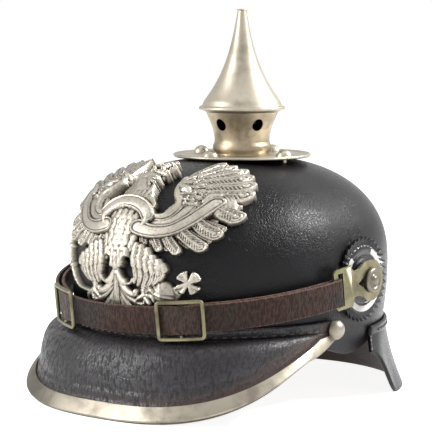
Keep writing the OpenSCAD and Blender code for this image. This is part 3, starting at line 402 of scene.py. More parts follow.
def build_leather(tree, given):
    """Pebbled grain, fine cracks along one way, scuffs and broad patches."""
    vector, scale, cracks = given["Vector"], given["Scale"], given["Cracks"]
    warp = node(tree, "ShaderNodeTexNoise", {"Vector": vector, "Scale": times(tree, scale, 0.35),
                                             "Detail": 3.0}).outputs[1]
    place = node(tree, "ShaderNodeVectorMath", {0: warp, 1: (0.0022, 0.0022, 0.0022), 2: vector},
                 operation="MULTIPLY_ADD").outputs[0]
    pebble = ramp(tree, cells(tree, place, scale), 0.0, 0.16)
    fine = noise(tree, place, times(tree, scale, 1.3), 5.0)
    veins = ramp(tree, cells(tree, stretched(tree, place, (1.0, 1.0, 0.42)),
                             times(tree, scale, 0.62)), 0.0, 0.07, 1.0, 0.0)
    where = ramp(tree, noise(tree, vector, 34.0, 3.0), 0.38, 0.62)
    veins = times(tree, times(tree, veins, where), cracks)
    height = plus(tree, times(tree, pebble, 0.42), times(tree, fine, 0.6))
    height = maths(tree, "SUBTRACT", height, times(tree, veins, 0.8))
    patches = noise(tree, vector, 22.0, 4.0, 0.4)
    scuffs = ramp(tree, noise(tree, stretched(tree, place, (1.0, 1.0, 3.0)), 90.0, 6.0, 0.0, 0.7),
                  0.58, 0.8)
    return {"Height": height, "Cracks": veins, "Patches": patches, "Scuffs": scuffs, "Fine": fine}


def build_patina(tree, given):
    """Cloudy tarnish, small spots and fine turning or rubbing lines."""
    vector = given["Vector"]
    cloud = noise(tree, vector, 55.0, 6.0, 0.3, 0.62)
    spots = ramp(tree, noise(tree, vector, 420.0, 4.0), 0.6, 0.78)
    lines = noise(tree, stretched(tree, vector, (0.08, 0.08, 1.0)), 2600.0, 3.0)
    return {"Cloud": cloud, "Spots": spots, "Lines": lines,
            "Grain": noise(tree, vector, 900.0, 5.0)}


EFFECTS = {
    "leather grain": (build_leather, {"Scale": 900.0, "Cracks": 1.0},
                      ("Height", "Cracks", "Patches", "Scuffs", "Fine")),
    "patina": (build_patina, {}, ("Cloud", "Spots", "Lines", "Grain")),
}


def effect_tree(name):
    """The node group of an effect, made on its first use; it gives masks and values only."""
    if name in bpy.data.node_groups:
        return bpy.data.node_groups[name]
    build, numbers, outputs = EFFECTS[name]
    tree = bpy.data.node_groups.new(name, "ShaderNodeTree")
    new_socket = tree.interface.new_socket
    new_socket(name="Vector", in_out="INPUT", socket_type="NodeSocketVector")
    for label, default in numbers.items():
        new_socket(name=label, in_out="INPUT", socket_type="NodeSocketFloat").default_value = default
    for label in outputs:
        new_socket(name=label, in_out="OUTPUT", socket_type="NodeSocketFloat")
    source = tree.nodes.new("NodeGroupInput")
    sink = tree.nodes.new("NodeGroupOutput")
    for label, value in build(tree, source.outputs).items():
        tree.links.new(value, sink.inputs[label])
    return tree


def shared(tree, name, **inputs):
    """The outputs of an effect."""
    return node(tree, "ShaderNodeGroup", inputs, node_tree=effect_tree(name)).outputs


def rgb(r, g, b):
    return (r, g, b, 1.0)


def principled(tree, colour, roughness, bump, metallic=0.0, strength=0.3, distance=0.0004,
               specular=0.5):
    """Ends the tree in a surface with a bump."""
    normal = node(tree, "ShaderNodeBump", {"Strength": strength, "Distance": distance, "Height": bump})
    shader = node(tree, "ShaderNodeBsdfPrincipled",
                  {"Base Color": colour, "Roughness": roughness, "Metallic": metallic,
                   "Specular IOR Level": specular, "Normal": normal.outputs[0]})
    node(tree, "ShaderNodeOutputMaterial", {0: shader.outputs[0]})


def coords(tree, kind="Object"):
    return node(tree, "ShaderNodeTexCoord").outputs[kind]


def tone_of(tree):
    return node(tree, "ShaderNodeAttribute", attribute_name="tone").outputs["Fac"]


def shade(colour, share=1.0):
    """The colour, or a dark share of it."""
    return rgb(*(part * share for part in tuple(colour)[:3]))


def mottled(tree, share, colour, dark):
    """The colour, mixed with a dark share of it."""
    return mix(tree, share, shade(colour, dark), shade(colour))


def black_leather(tree):
    look = colours()
    grain = shared(tree, "leather grain", Vector=coords(tree), Scale=640.0, Cracks=0.5)
    colour = mottled(tree, ramp(tree, grain["Patches"], 0.35, 0.7), look.skull_leather, 0.4)
    colour = mix(tree, times(tree, grain["Cracks"], 0.55), colour, rgb(0.001, 0.001, 0.001))
    colour = mix(tree, times(tree, grain["Scuffs"], 0.35), colour, shade(look.worn_leather, 0.5))
    colour = mix(tree, tone_of(tree), colour, shade(look.worn_leather))
    rough = plus(tree, ramp(tree, grain["Patches"], 0.3, 0.75, 0.25, 0.36),
                  ramp(tree, grain["Height"], 0.2, 0.7, 0.14, 0.0))
    principled(tree, colour, rough, bump=grain["Height"], strength=0.8, distance=0.00018,
               specular=0.18)


def visor_leather(tree):
    look = colours()
    grain = shared(tree, "leather grain", Vector=coords(tree), Scale=430.0, Cracks=1.0)
    uv = coords(tree, "UV")
    along_arc = noise(tree, stretched(tree, uv, (1.0, 0.4, 1.0)), 58.0, 2.0, 0.8, 0.5)
    across = noise(tree, stretched(tree, uv, (0.35, 1.0, 1.0)), 46.0, 2.0, 0.8, 0.5)
    unshaded_ridges = times(tree, ramp(tree, along_arc, 0.38, 0.56), ramp(tree, across, 0.32, 0.52, 0.4, 1.0))
    height = plus(tree, along_arc, times(tree, across, 0.7))
    height = plus(tree, times(tree, grain["Height"], 0.12), height)
    colour = mottled(tree, ramp(tree, grain["Patches"], 0.3, 0.75), look.visor_leather, 0.5)
    # painted shade: the valleys of the wrinkles are darkened almost to black
    colour = mix(tree, unshaded_ridges, rgb(0.0008, 0.0008, 0.0008), colour)
    rubbed = times(tree, tone_of(tree), ramp(tree, grain["Fine"], 0.35, 0.6))
    colour = mix(tree, rubbed, colour, shade(look.worn_leather))
    rough = plus(tree, ramp(tree, grain["Patches"], 0.3, 0.7, 0.3, 0.38),
                  ramp(tree, unshaded_ridges, 0.0, 0.8, 0.3, 0.0))
    principled(tree, colour, rough, bump=height, strength=1.0, distance=0.00034, specular=0.42)


def strap_leather(tree):
    look = colours()
    place = coords(tree)
    grain = shared(tree, "leather grain", Vector=place, Scale=760.0, Cracks=1.0)
    colour = mottled(tree, ramp(tree, grain["Patches"], 0.42, 0.6), look.strap_leather, 0.15)
    green = ramp(tree, noise(tree, place, 160.0, 5.0), 0.56, 0.7)
    colour = mix(tree, times(tree, green, 0.6), colour, rgb(0.006, 0.022, 0.018))
    colour = mix(tree, times(tree, grain["Scuffs"], 0.6), colour, shade(look.strap_edge, 0.4))
    colour = mix(tree, tone_of(tree), colour, shade(look.strap_edge))
    streak = ramp(tree, noise(tree, stretched(tree, place, (1.0, 1.0, 0.35)), 900.0, 4.0), 0.4, 0.6)
    colour = mix(tree, times(tree, streak, 0.6), colour, rgb(0.002, 0.0015, 0.0015))
    height = maths(tree, "SUBTRACT", grain["Height"], streak)
    rough = plus(tree, ramp(tree, grain["Patches"], 0.3, 0.7, 0.32, 0.46),
                  times(tree, streak, 0.25))
    principled(tree, colour, rough, bump=height, strength=0.8, distance=0.0002, specular=0.2)


def liner_leather(tree):
    grain = shared(tree, "leather grain", Vector=coords(tree), Scale=600.0, Cracks=0.5)
    colour = mottled(tree, ramp(tree, grain["Patches"], 0.3, 0.7), colours().liner_leather, 0.5)
    principled(tree, colour, ramp(tree, grain["Patches"], 0.3, 0.7, 0.5, 0.65), bump=grain["Height"],
               strength=0.3, distance=0.0003)


def metal(tree, light, share, roughness, lines=0.15, tarnish=0.5, painted_shade=None, distance=0.00001,
          pits=0.0):
    """Metal of one light colour that tarnishes to a share of it in clouds and spots, with a painted
    shade colour where tone is high.
    """
    marks = shared(tree, "patina", Vector=coords(tree))
    dark = shade(light, share)
    colour = mix(tree, times(tree, ramp(tree, marks["Cloud"], 0.42, 0.72), tarnish),
                 shade(light), dark)
    colour = mix(tree, times(tree, marks["Spots"], tarnish * 0.6), colour, dark)
    rough = ramp(tree, marks["Cloud"], 0.35, 0.7, roughness - 0.04, roughness + 0.08)
    if pits:
        colour = mix(tree, ramp(tree, marks["Grain"], 0.52, 0.3, 0.0, pits), colour, dark)
    # painted shade: where tone is high the colour goes to a dark shade colour (eagle hollows and foot,
    # neck inside, trim's far side)
    if painted_shade is not None:
        colour = mix(tree, tone_of(tree), colour, painted_shade)
    bump = plus(tree, times(tree, marks["Lines"], lines), marks["Grain"])
    principled(tree, colour, rough, metallic=1.0, bump=bump, strength=0.5, distance=distance)


def white_metal(tree):
    metal(tree, shade(colours().white_metal, 0.86), 0.5, 0.43, lines=0.4, tarnish=0.8)


def trim_metal(tree):
    metal(tree, shade(colours().white_metal, 0.62), 0.42, 0.46, lines=0.4, tarnish=0.8,
          painted_shade=shade(colours().white_metal, 0.16))


def dull_metal(tree):
    metal(tree, shade(colours().white_metal, 0.36), 0.34, 0.42, tarnish=0.85)


def neck_metal(tree):
    metal(tree, colours().neck_metal, 0.35, 0.42, tarnish=0.9, painted_shade=rgb(0.004, 0.003, 0.002))


# painted shade: a near-black copy of the neck metal for the fittings seen through the neck's vents
def inside_shade_metal(tree):
    metal(tree, shade(colours().neck_metal, 0.04), 0.5, 0.6)


def eagle_metal(tree):
    metal(tree, colours().eagle_metal, 0.5, 0.44, lines=0.0, tarnish=0.5,
          painted_shade=rgb(0.02, 0.016, 0.012), distance=0.00022, pits=0.8)


def old_brass(tree):
    metal(tree, colours().old_brass, 0.25, 0.42, tarnish=0.95)


def brass(tree):
    metal(tree, colours().brass, 0.5, 0.34)


def thread(tree):
    place = coords(tree)
    colour = mottled(tree, noise(tree, place, 700.0), colours().thread, 0.25)
    principled(tree, colour, 0.5, bump=noise(tree, place, 3000.0), strength=0.3)


def cotton(tree):
    place = coords(tree)
    colour = mottled(tree, noise(tree, place, 300.0), colours().cord, 0.6)
    principled(tree, colour, 0.85, bump=noise(tree, place, 2500.0), strength=0.4)


def cockade_paint(tree):
    """Black lacquer, with white where tone is high, chipped at its edges."""
    look = colours()
    marks = shared(tree, "patina", Vector=coords(tree))
    chips = plus(tree, tone_of(tree), times(tree, marks["Grain"], -0.55))
    white = ramp(tree, chips, 0.2, 0.26)
    paint = mix(tree, ramp(tree, marks["Cloud"], 0.4, 0.7), shade(look.ring_paint),
                shade(look.ring_paint, 0.7))
    black = mottled(tree, ramp(tree, marks["Cloud"], 0.45, 0.65), look.lacquer, 0.35)
    principled(tree, mix(tree, white, black, paint), ramp(tree, marks["Cloud"], 0.3, 0.7, 0.2, 0.34),
               bump=marks["Grain"], strength=0.15, distance=0.0002)


LOOKS = {
    "black_leather": black_leather, "visor_leather": visor_leather, "strap_leather": strap_leather,
    "liner_leather": liner_leather, "white_metal": white_metal, "eagle_metal": eagle_metal,
    "dull_metal": dull_metal, "neck_metal": neck_metal, "inside_shade_metal": inside_shade_metal,
    "trim_metal": trim_metal, "old_brass": old_brass, "brass": brass, "black_thread": thread,
    "cotton": cotton, "cockade_paint": cockade_paint,
}


def material(slot):
    """The material of a slot, made on its first use."""
    name = "look_" + slot
    if name not in bpy.data.materials:
        new = bpy.data.materials.new(name)
        new.use_nodes = True
        new.node_tree.nodes.clear()
        LOOKS[slot](new.node_tree)
    return bpy.data.materials[name]


# Leather body: skull, visors, stitches and trim

def outline(count, straight=8):
    """Columns round the skull from its left front: [sin, fixed y, share of front, share of rear]."""
    cols = []
    for a in np.linspace(-90, 90, count, endpoint=False):
        c, s = cos_sin(a)
        cols.append((s, -SKULL_MID, -c, 0))
    for f in np.linspace(0, 1, straight, endpoint=False):
        cols.append((1, -SKULL_MID * (1 - f), 0, 0))
    for a in np.linspace(90, 270, count, endpoint=False):
        c, s = cos_sin(a)
        cols.append((s, 0, 0, -c))
    for f in np.linspace(0, 1, straight, endpoint=False):
        cols.append((-1, -SKULL_MID * f, 0, 0))
    return np.array(cols)


def outline_points(cols, g, z):
    x = SKULL_W * g * cols[:, 0]
    y = cols[:, 1] + g * (SKULL_FRONT * cols[:, 2] + SKULL_REAR * cols[:, 3])
    return np.stack([x, y, z + 0 * x], -1)


RIM_Z, FLAP_Y, FLAP_HALF = -8.0, -4.0, 36.0


def rim_height(y):
    u = np.minimum(1, np.abs(y - FLAP_Y) / FLAP_HALF)
    return RIM_Z - (SKIRT + RIM_Z) * (1 - smooth(u))


def build_skull():
    cols = outline(112)
    low = rim_height(outline_points(cols, float(shrink(RIM_Z)), 0.0)[:, 1])
    rows = []
    for v in np.linspace(0, 1, 14, endpoint=False):
        z = low + (WALL - low) * v
        rows.append(outline_points(cols, shrink(z), z))
    air_hole = 13.0
    for b in np.linspace(0, math.acos((air_hole / SKULL_W) ** (POWER / 2)), 64):
        rows.append(outline_points(cols, *dome_arc(b)))
    outer = np.stack(rows, 1)
    n = sweep_normals(np.concatenate([outer[-1:], outer, outer[:1]]))[1:-1]
    if n[0, 30] @ (outer[0, 30] - [0, 0, 30]) < 0:
        n = -n
    inner = outer - n * SKULL_T
    mid = outer - n * SKULL_T / 2
    columns = range(outer.shape[1])
    ring = [outer[:, j] for j in columns] + [inner[:, j] for j in reversed(columns)]
    ring += rounded(mid[:, 0], n[:, 0], np.array([0, 0, -1.0]), SKULL_T / 2, 0.8, ROUND[::-1])
    bm = bmesh.new()
    skin(bm, np.stack(ring, 1), wrap_u=True, wrap_v=True)
    finish_mesh("skull_shell", bm, "helmet", "black_leather", ["skull"], sharp=60)


FRONT_W, FRONT_REACH, FRONT_DROP, FRONT_MID = 85.6, 131.6, 39.4, 50.3
FRONT_POWER, SWELL, SWELL_POWER, FRONT_END, TRIM_W, TRIM_T = 0.77, 8.5, 0.68, 100.0, 8.0, 0.7


def signed_power(a, m):
    return np.sign(a) * np.abs(a) ** m


def front_edge(t):
    a = np.radians(t)
    w = 1 - np.cos(a)
    return np.stack([FRONT_W * signed_power(np.sin(a), FRONT_POWER),
                     -(FRONT_MID + (FRONT_REACH - FRONT_MID) * signed_power(np.cos(a), FRONT_POWER)),
                     -FRONT_DROP * (1 - 0.4 * w - 0.31 * w * w)], -1)


FRONT_SEAM_TURN = math.degrees(math.acos((-front_edge(FRONT_END)[1] - SKULL_MID) / SKULL_FRONT))


def front_seam(t, z):
    return skull_point(t * FRONT_SEAM_TURN / FRONT_END, z, SEAT_GAP + VISOR_T)


def front_frame(t):
    """Edge, seam, way down the visor and way out of it."""
    edge, seam = front_edge(t), front_seam(t, 0.0)
    down = unit(edge - seam)
    up = unit(np.cross(front_edge(t - 1) - front_edge(t + 1), down))
    return edge, seam, down, up


def visor_turns(count):
    """Turns spread evenly along the visor's edge."""
    fine = np.linspace(-FRONT_END, FRONT_END, 2001)
    run = run_of(front_edge(fine))
    return np.interp(np.linspace(0, run[-1], count), run, fine)


def build_front_visor():
    t = visor_turns(260)
    edge, seam, down, up = front_frame(t)
    length = np.linalg.norm(edge - seam, axis=1)[:, None]
    foot = edge - down * np.minimum(TRIM_W + 1.5, 0.8 * length)
    span = np.linalg.norm(foot - seam, axis=1)[:, None]
    swell = SWELL * np.minimum(1, span / 30)
    fade = smooth((span - 12) / 12)
    rows = [front_seam(t, z) for z in (FLANGE, 3.8, 2.6, 1.5, 0.7)]
    for s in np.arange(31) / 30:
        # a line and a groove are pressed a few mm above the trim, and fade out towards the ends
        above = span * (1 - s)
        press = (detail("press_line") * np.exp(-((above - 3.2) / 1.0) ** 2)
                 - 0.35 * np.exp(-((above - 5.6) / 1.3) ** 2))
        rise = swell * math.sin(math.pi * s ** SWELL_POWER) + press * fade
        rows.append(seam + (foot - seam) * s + up * rise)
    rows += [foot + (edge - foot) * s for s in (0.3, 0.6, 1.0)]
    bm = bmesh.new()
    sheet(bm, np.stack(rows, 1), VISOR_T)
    rub_near_trim(finish_mesh("visor_sheet", bm, "helmet", "visor_leather", ["front_visor"], sharp=60))


def wear_inside(obj, middle):
    """Marks what looks towards a point (in mm) inside the helmet as worn."""
    mesh = obj.data
    least_cosine = 0.25
    centre = Vector(to_row(np.array(middle, float)))
    layer = mesh.attributes["tone"].data
    for vert in mesh.vertices:
        if vert.normal.dot(centre - vert.co) > least_cosine * (centre - vert.co).length:
            layer[vert.index].value = 1.0


def rub_near_trim(obj):
    """Writes the worn share of the leather just above the trim."""
    mesh = obj.data
    co = np.empty(len(mesh.vertices) * 3)
    mesh.vertices.foreach_get("co", co)
    co = co.reshape(-1, 3)
    near = np.full(len(co), 1.0)
    for p in to_row(front_edge(visor_turns(160))):
        near = np.minimum(near, np.linalg.norm(co - p, axis=1))
    share = 1 - smooth((near / MM - 8.5) / 6)
    side = smooth((co[:, 0] / MM - 5) / 40)
    mesh.attributes["tone"].data.foreach_set("value", share * (0.3 + 0.7 * side))


def build_trim():
    t = visor_turns(240)
    edge, seam, down, up = front_frame(t)
    length = np.linalg.norm(edge - seam, axis=1)
    w = np.minimum(TRIM_W, length * 0.7)
    gap, bend = 0.15, 0.8
    top = gap + TRIM_T
    low = -VISOR_T - top
    inner = np.minimum(4.0, w - 1)
    arc = [cos_sin(a) for a in range(90, -1, -18)]
    ring = []

    def at(d, n):
        ring.append(edge + down * np.broadcast_to(d, t.shape)[:, None] + up * n)

    at(-w, top - 0.25)
    at(-w + 0.25, top)
    for f in (0.15, 0.4, 0.7, 0.9):
        at(-w * (1 - f), top + 0.12 * math.sin(math.pi * f))
    for c, s in arc:
        at(top - bend + bend * c, top - bend + bend * s)
    for c, s in arc[::-1]:
        at(top - bend + bend * c, low + bend - bend * s)
    at(-inner, low)
    at(-inner, low + TRIM_T)
    at(gap, low + TRIM_T)
    at(gap, gap)
    at(-w, gap)
    bm = bmesh.new()
    skin(bm, capped(np.stack(ring, 1)), wrap_v=True)
    trim = finish_mesh("trim_edge", bm, "helmet", "white_metal", ["front_visor_trim"], sharp=35,
                       look="trim_metal")
    # painted shade: the trim darkens towards the wearer's right side
    tone = trim.data.attributes["tone"].data
    for vert in trim.data.vertices:
        tone[vert.index].value = 0.7 * smooth((-vert.co.x / MM - 22) / 34)


REAR_W, REAR_REACH, REAR_MID, REAR_SEAM_Z = 86.5, 104.0, 12.0, -8.0
REAR_DROP, REAR_SIDE, REAR_HOLLOW = 45.3, 44.8, 1.0
REAR_END_Y, REAR_SEAM_Y, REAR_FULL_Y = 7.0, 13.0, 44.0
REAR_END = 90 + math.degrees(math.asin((REAR_MID - REAR_END_Y) / (REAR_REACH - REAR_MID)))
REAR_SEAM_TURN = math.degrees(math.acos(REAR_SEAM_Y / SKULL_REAR))


def rear_edge(t):
    a = np.radians(t)
    y = REAR_MID + (REAR_REACH - REAR_MID) * np.cos(a)
    z = (-SKIRT - (REAR_SIDE - SKIRT) * smooth((y - REAR_END_Y) / (REAR_FULL_Y - REAR_END_Y))
         - (REAR_DROP - REAR_SIDE) * np.maximum(0, (y - REAR_FULL_Y) / (REAR_REACH - REAR_FULL_Y)))
    return np.stack([REAR_W * np.sin(a), y, z], -1)


def rear_seam(t, z):
    return skull_point(180 - t * REAR_SEAM_TURN / REAR_END, z, SEAT_GAP + VISOR_T)


def build_rear_visor():
    t = np.linspace(REAR_END, -REAR_END, 200)
    a, b = rear_seam(t, REAR_SEAM_Z), rear_edge(t)
    down = unit(b - a)
    up = -unit(np.cross(down, rear_edge(t - 1) - rear_edge(t + 1)))
    hollow = REAR_HOLLOW * smooth((np.linalg.norm(b - a, axis=1) - 12) / 22)[:, None]
    rows = [rear_seam(t, REAR_SEAM_Z + z) for z in (FLANGE - 1, 2.6, 1.2, 0.5)]
    for s in np.linspace(0, 1, 24):
        rows.append(a + (b - a) * s + up * hollow * math.sin(math.pi * s))
    bm = bmesh.new()
    outer = np.stack(rows, 1)
    n = sweep_normals(outer)[100, 12]
    sheet(bm, outer, VISOR_T, out=1 if n @ outer[100, 12] > 0 else -1)
    obj = finish_mesh("guard_sheet", bm, "helmet", "visor_leather", ["rear_visor"], sharp=60,
                      look="black_leather")
    wear_inside(obj, (0, 0, -60))


def build_stitches():
    a = np.linspace(0, 2 * np.pi, 8, endpoint=False)
    thick = np.sqrt(1 - np.linspace(-0.9, 0.9, 7) ** 2) * detail("stitch_thickness") / 2
    section = np.stack([np.outer(thick, np.cos(a)), np.outer(thick, np.sin(a))], -1)
    count, half, above_seam = 44, 1.6, 1.6
    reach = FRONT_SEAM_TURN - 6
    front = np.linspace(-1, 1, count + 1)[:-1] * reach + reach / count
    steps = (np.arange(count // 2) + 0.5) / (count // 2)
    rear = np.concatenate([180 + side * (4 + (REAR_SEAM_TURN - 10) * steps) for side in (-1, 1)])
    for end, turns, seam_z in (("front", front, 0), ("rear", rear, REAR_SEAM_Z)):
        bm = bmesh.new()
        for turn in turns:
            p, q = skull_point(np.array([turn, turn + 0.5]), seam_z + above_seam, SEAT_GAP + VISOR_T)
            way = unit(q - p)
            out = unit(np.cross(way, [0, 0, 1.0]))
            tube(bm, [p + way * k + out * 0.35 * (1 - (k / half) ** 2)
                      for k in np.linspace(-half, half, 7)], section)
        finish_mesh(end + "_stitches", bm, "helmet", "black_thread", [end + "_visor_stitching"],
                    sharp=80)


# Eagle plate: a relief over x across the front and s up along the dome

ARC_STEP, FLOOR = 1.3, -2.6
SHARES = np.linspace(0, 1, 50)


def spread(values):
    """One number, or one per point of a line, as one for each of SHARES."""
    if np.ndim(values) == 0:
        return np.full(len(SHARES), float(values))
    return np.interp(SHARES, np.linspace(0, 1, len(values)), values)


class Relief:
    """Heights in mm above the skull, grown stroke by stroke."""

    def __init__(self):
        cell = detail("relief_cell")
        self.xs = np.arange(-60, 60 + cell, cell)
        self.ss = np.arange(9, 122 + cell, cell)
        self.x, self.s = np.meshgrid(self.xs, self.ss, indexing="ij")
        self.h = np.full(self.x.shape, FLOOR)
        self.flip = 1

    def sides(self):
        """Runs once for each side, where x is what lies away from the middle."""
        for self.flip in (-1, 1):
            yield
        self.flip = 1

    def path(self, line, per=4):
        """A smooth curve through a few points, with per points for each."""
        return along(np.array(line, float) * (self.flip, 1), per * len(line))

    def window(self, pts, reach):
        lo, hi = pts.min(0) - reach, pts.max(0) + reach
        i0, i1 = np.searchsorted(self.xs, (lo[0], hi[0]))
        j0, j1 = np.searchsorted(self.ss, (lo[1], hi[1]))
        return slice(i0, i1), slice(j0, j1)

    def near(self, pts, spot):
        """Share along the line, its length, the way off it and on which side, over a window."""
        x, s = self.x[spot], self.s[spot]
        best = np.full(x.shape, 1e9)
        share = np.zeros(x.shape)
        side = np.zeros(x.shape)
        run = run_of(pts)
        for a, b, start, step in zip(pts[:-1], pts[1:], run, np.diff(run)):
            d = (b - a) / max(step, 1e-6)
            f = np.clip((x - a[0]) * d[0] + (s - a[1]) * d[1], 0, step)
            dx, ds = x - a[0] - d[0] * f, s - a[1] - d[1] * f
            off = np.hypot(dx, ds)
            hit = off < best
            best = np.where(hit, off, best)
            share = np.where(hit, (start + f) / run[-1], share)
            side = np.where(hit, np.sign(d[0] * ds - d[1] * dx), side)
        return share, run[-1], best, side

    def raise_to(self, spot, top):
        self.h[spot] = np.maximum(self.h[spot], top)

    def stroke(self, line, width, height, camber=0.8, rim=0.0, groove=0.0, barbs=0.0, tilt=0.0,
               steep=5.0, pitch=1.25, slant=1.0, edge=0.16, lift=0.0, inlay=0.0):
        """A rounded strip along a line; its width and height are one number or one per point."""
        pts = self.path(line)
        widths = spread(width)
        spot = self.window(pts, widths.max() + 1.5)
        share, length, off, side = self.near(pts, spot)
        w = np.interp(share, SHARES, widths)
        q = off / w
        top = np.interp(share, SHARES, spread(height)) - camber * q ** 2 + tilt * side * self.flip * q
        top += rim * np.exp(-((q - 0.86) / edge) ** 2) - groove * np.exp(-(q / 0.14) ** 2)
        top += lift * smooth((share - 0.6) / 0.4) - inlay * np.exp(-((q - 0.66) / 0.09) ** 2)
        wave = np.cos((share * length - off * slant) * 2 * np.pi / pitch)
        top += barbs * wave * smooth((0.8 - q) / 0.15) * smooth((q - 0.1) / 0.1)
        top -= np.maximum(0, off - w) * steep + 0.5 * smooth((q - 0.9) / 0.2)
        self.raise_to(spot, top)

    def dome(self, x, s, rx, rs, height, flat=2.0):
        x = x * self.flip
        spot = self.window(np.array([[x, s]]), max(rx, rs) + 1.5)
        q = np.hypot((self.x[spot] - x) / rx, (self.s[spot] - s) / rs)
        self.raise_to(spot, height - flat * np.minimum(q, 1) ** 2
                      - np.maximum(0, q - 1) * max(rx, rs) * 4)

    def cut(self, line, width):
        """Opens a hole along a line."""
        pts = self.path(line)
        widths = spread(width)
        spot = self.window(pts, widths.max() + 2)
        share, _, off, _ = self.near(pts, spot)
        away = np.maximum(0, off - np.interp(share, SHARES, widths))
        self.h[spot] = np.minimum(self.h[spot], FLOOR + away * 6)

    def line(self, line, width, rise):
        """A fine raised (or, below zero, sunk) line over what is there."""
        pts = self.path(line, 5)
        spot = self.window(pts, width * 3)
        off = self.near(pts, spot)[2]
        self.h[spot] += rise * np.exp(-(off / width) ** 2) * (self.h[spot] > 0.2)


def feather(r, root, tip, width, height, bend=0.0, **more):
    """One long feather from its root to the middle of its round tip."""
    a, b = np.array(root, float), np.array(tip, float)
    d = b - a
    off = np.array([-d[1], d[0]]) * bend
    look = {"camber": 1.1, "rim": 0.6, "barbs": detail("barb_depth"), "tilt": 0.5, "pitch": 1.45,
            **more}
    r.stroke([a, a + d * 0.35 + off, a + d * 0.7 + off * 0.8, b],
             [width * 0.75, width * 0.9, width, width * 0.96],
             [height + 0.5, height + 0.3, height, height - 0.1], **look)
    r.line([a + d * 0.2 + off * 0.6, a + d * 0.5 + off, a + d * 0.93], 0.42, 0.6)


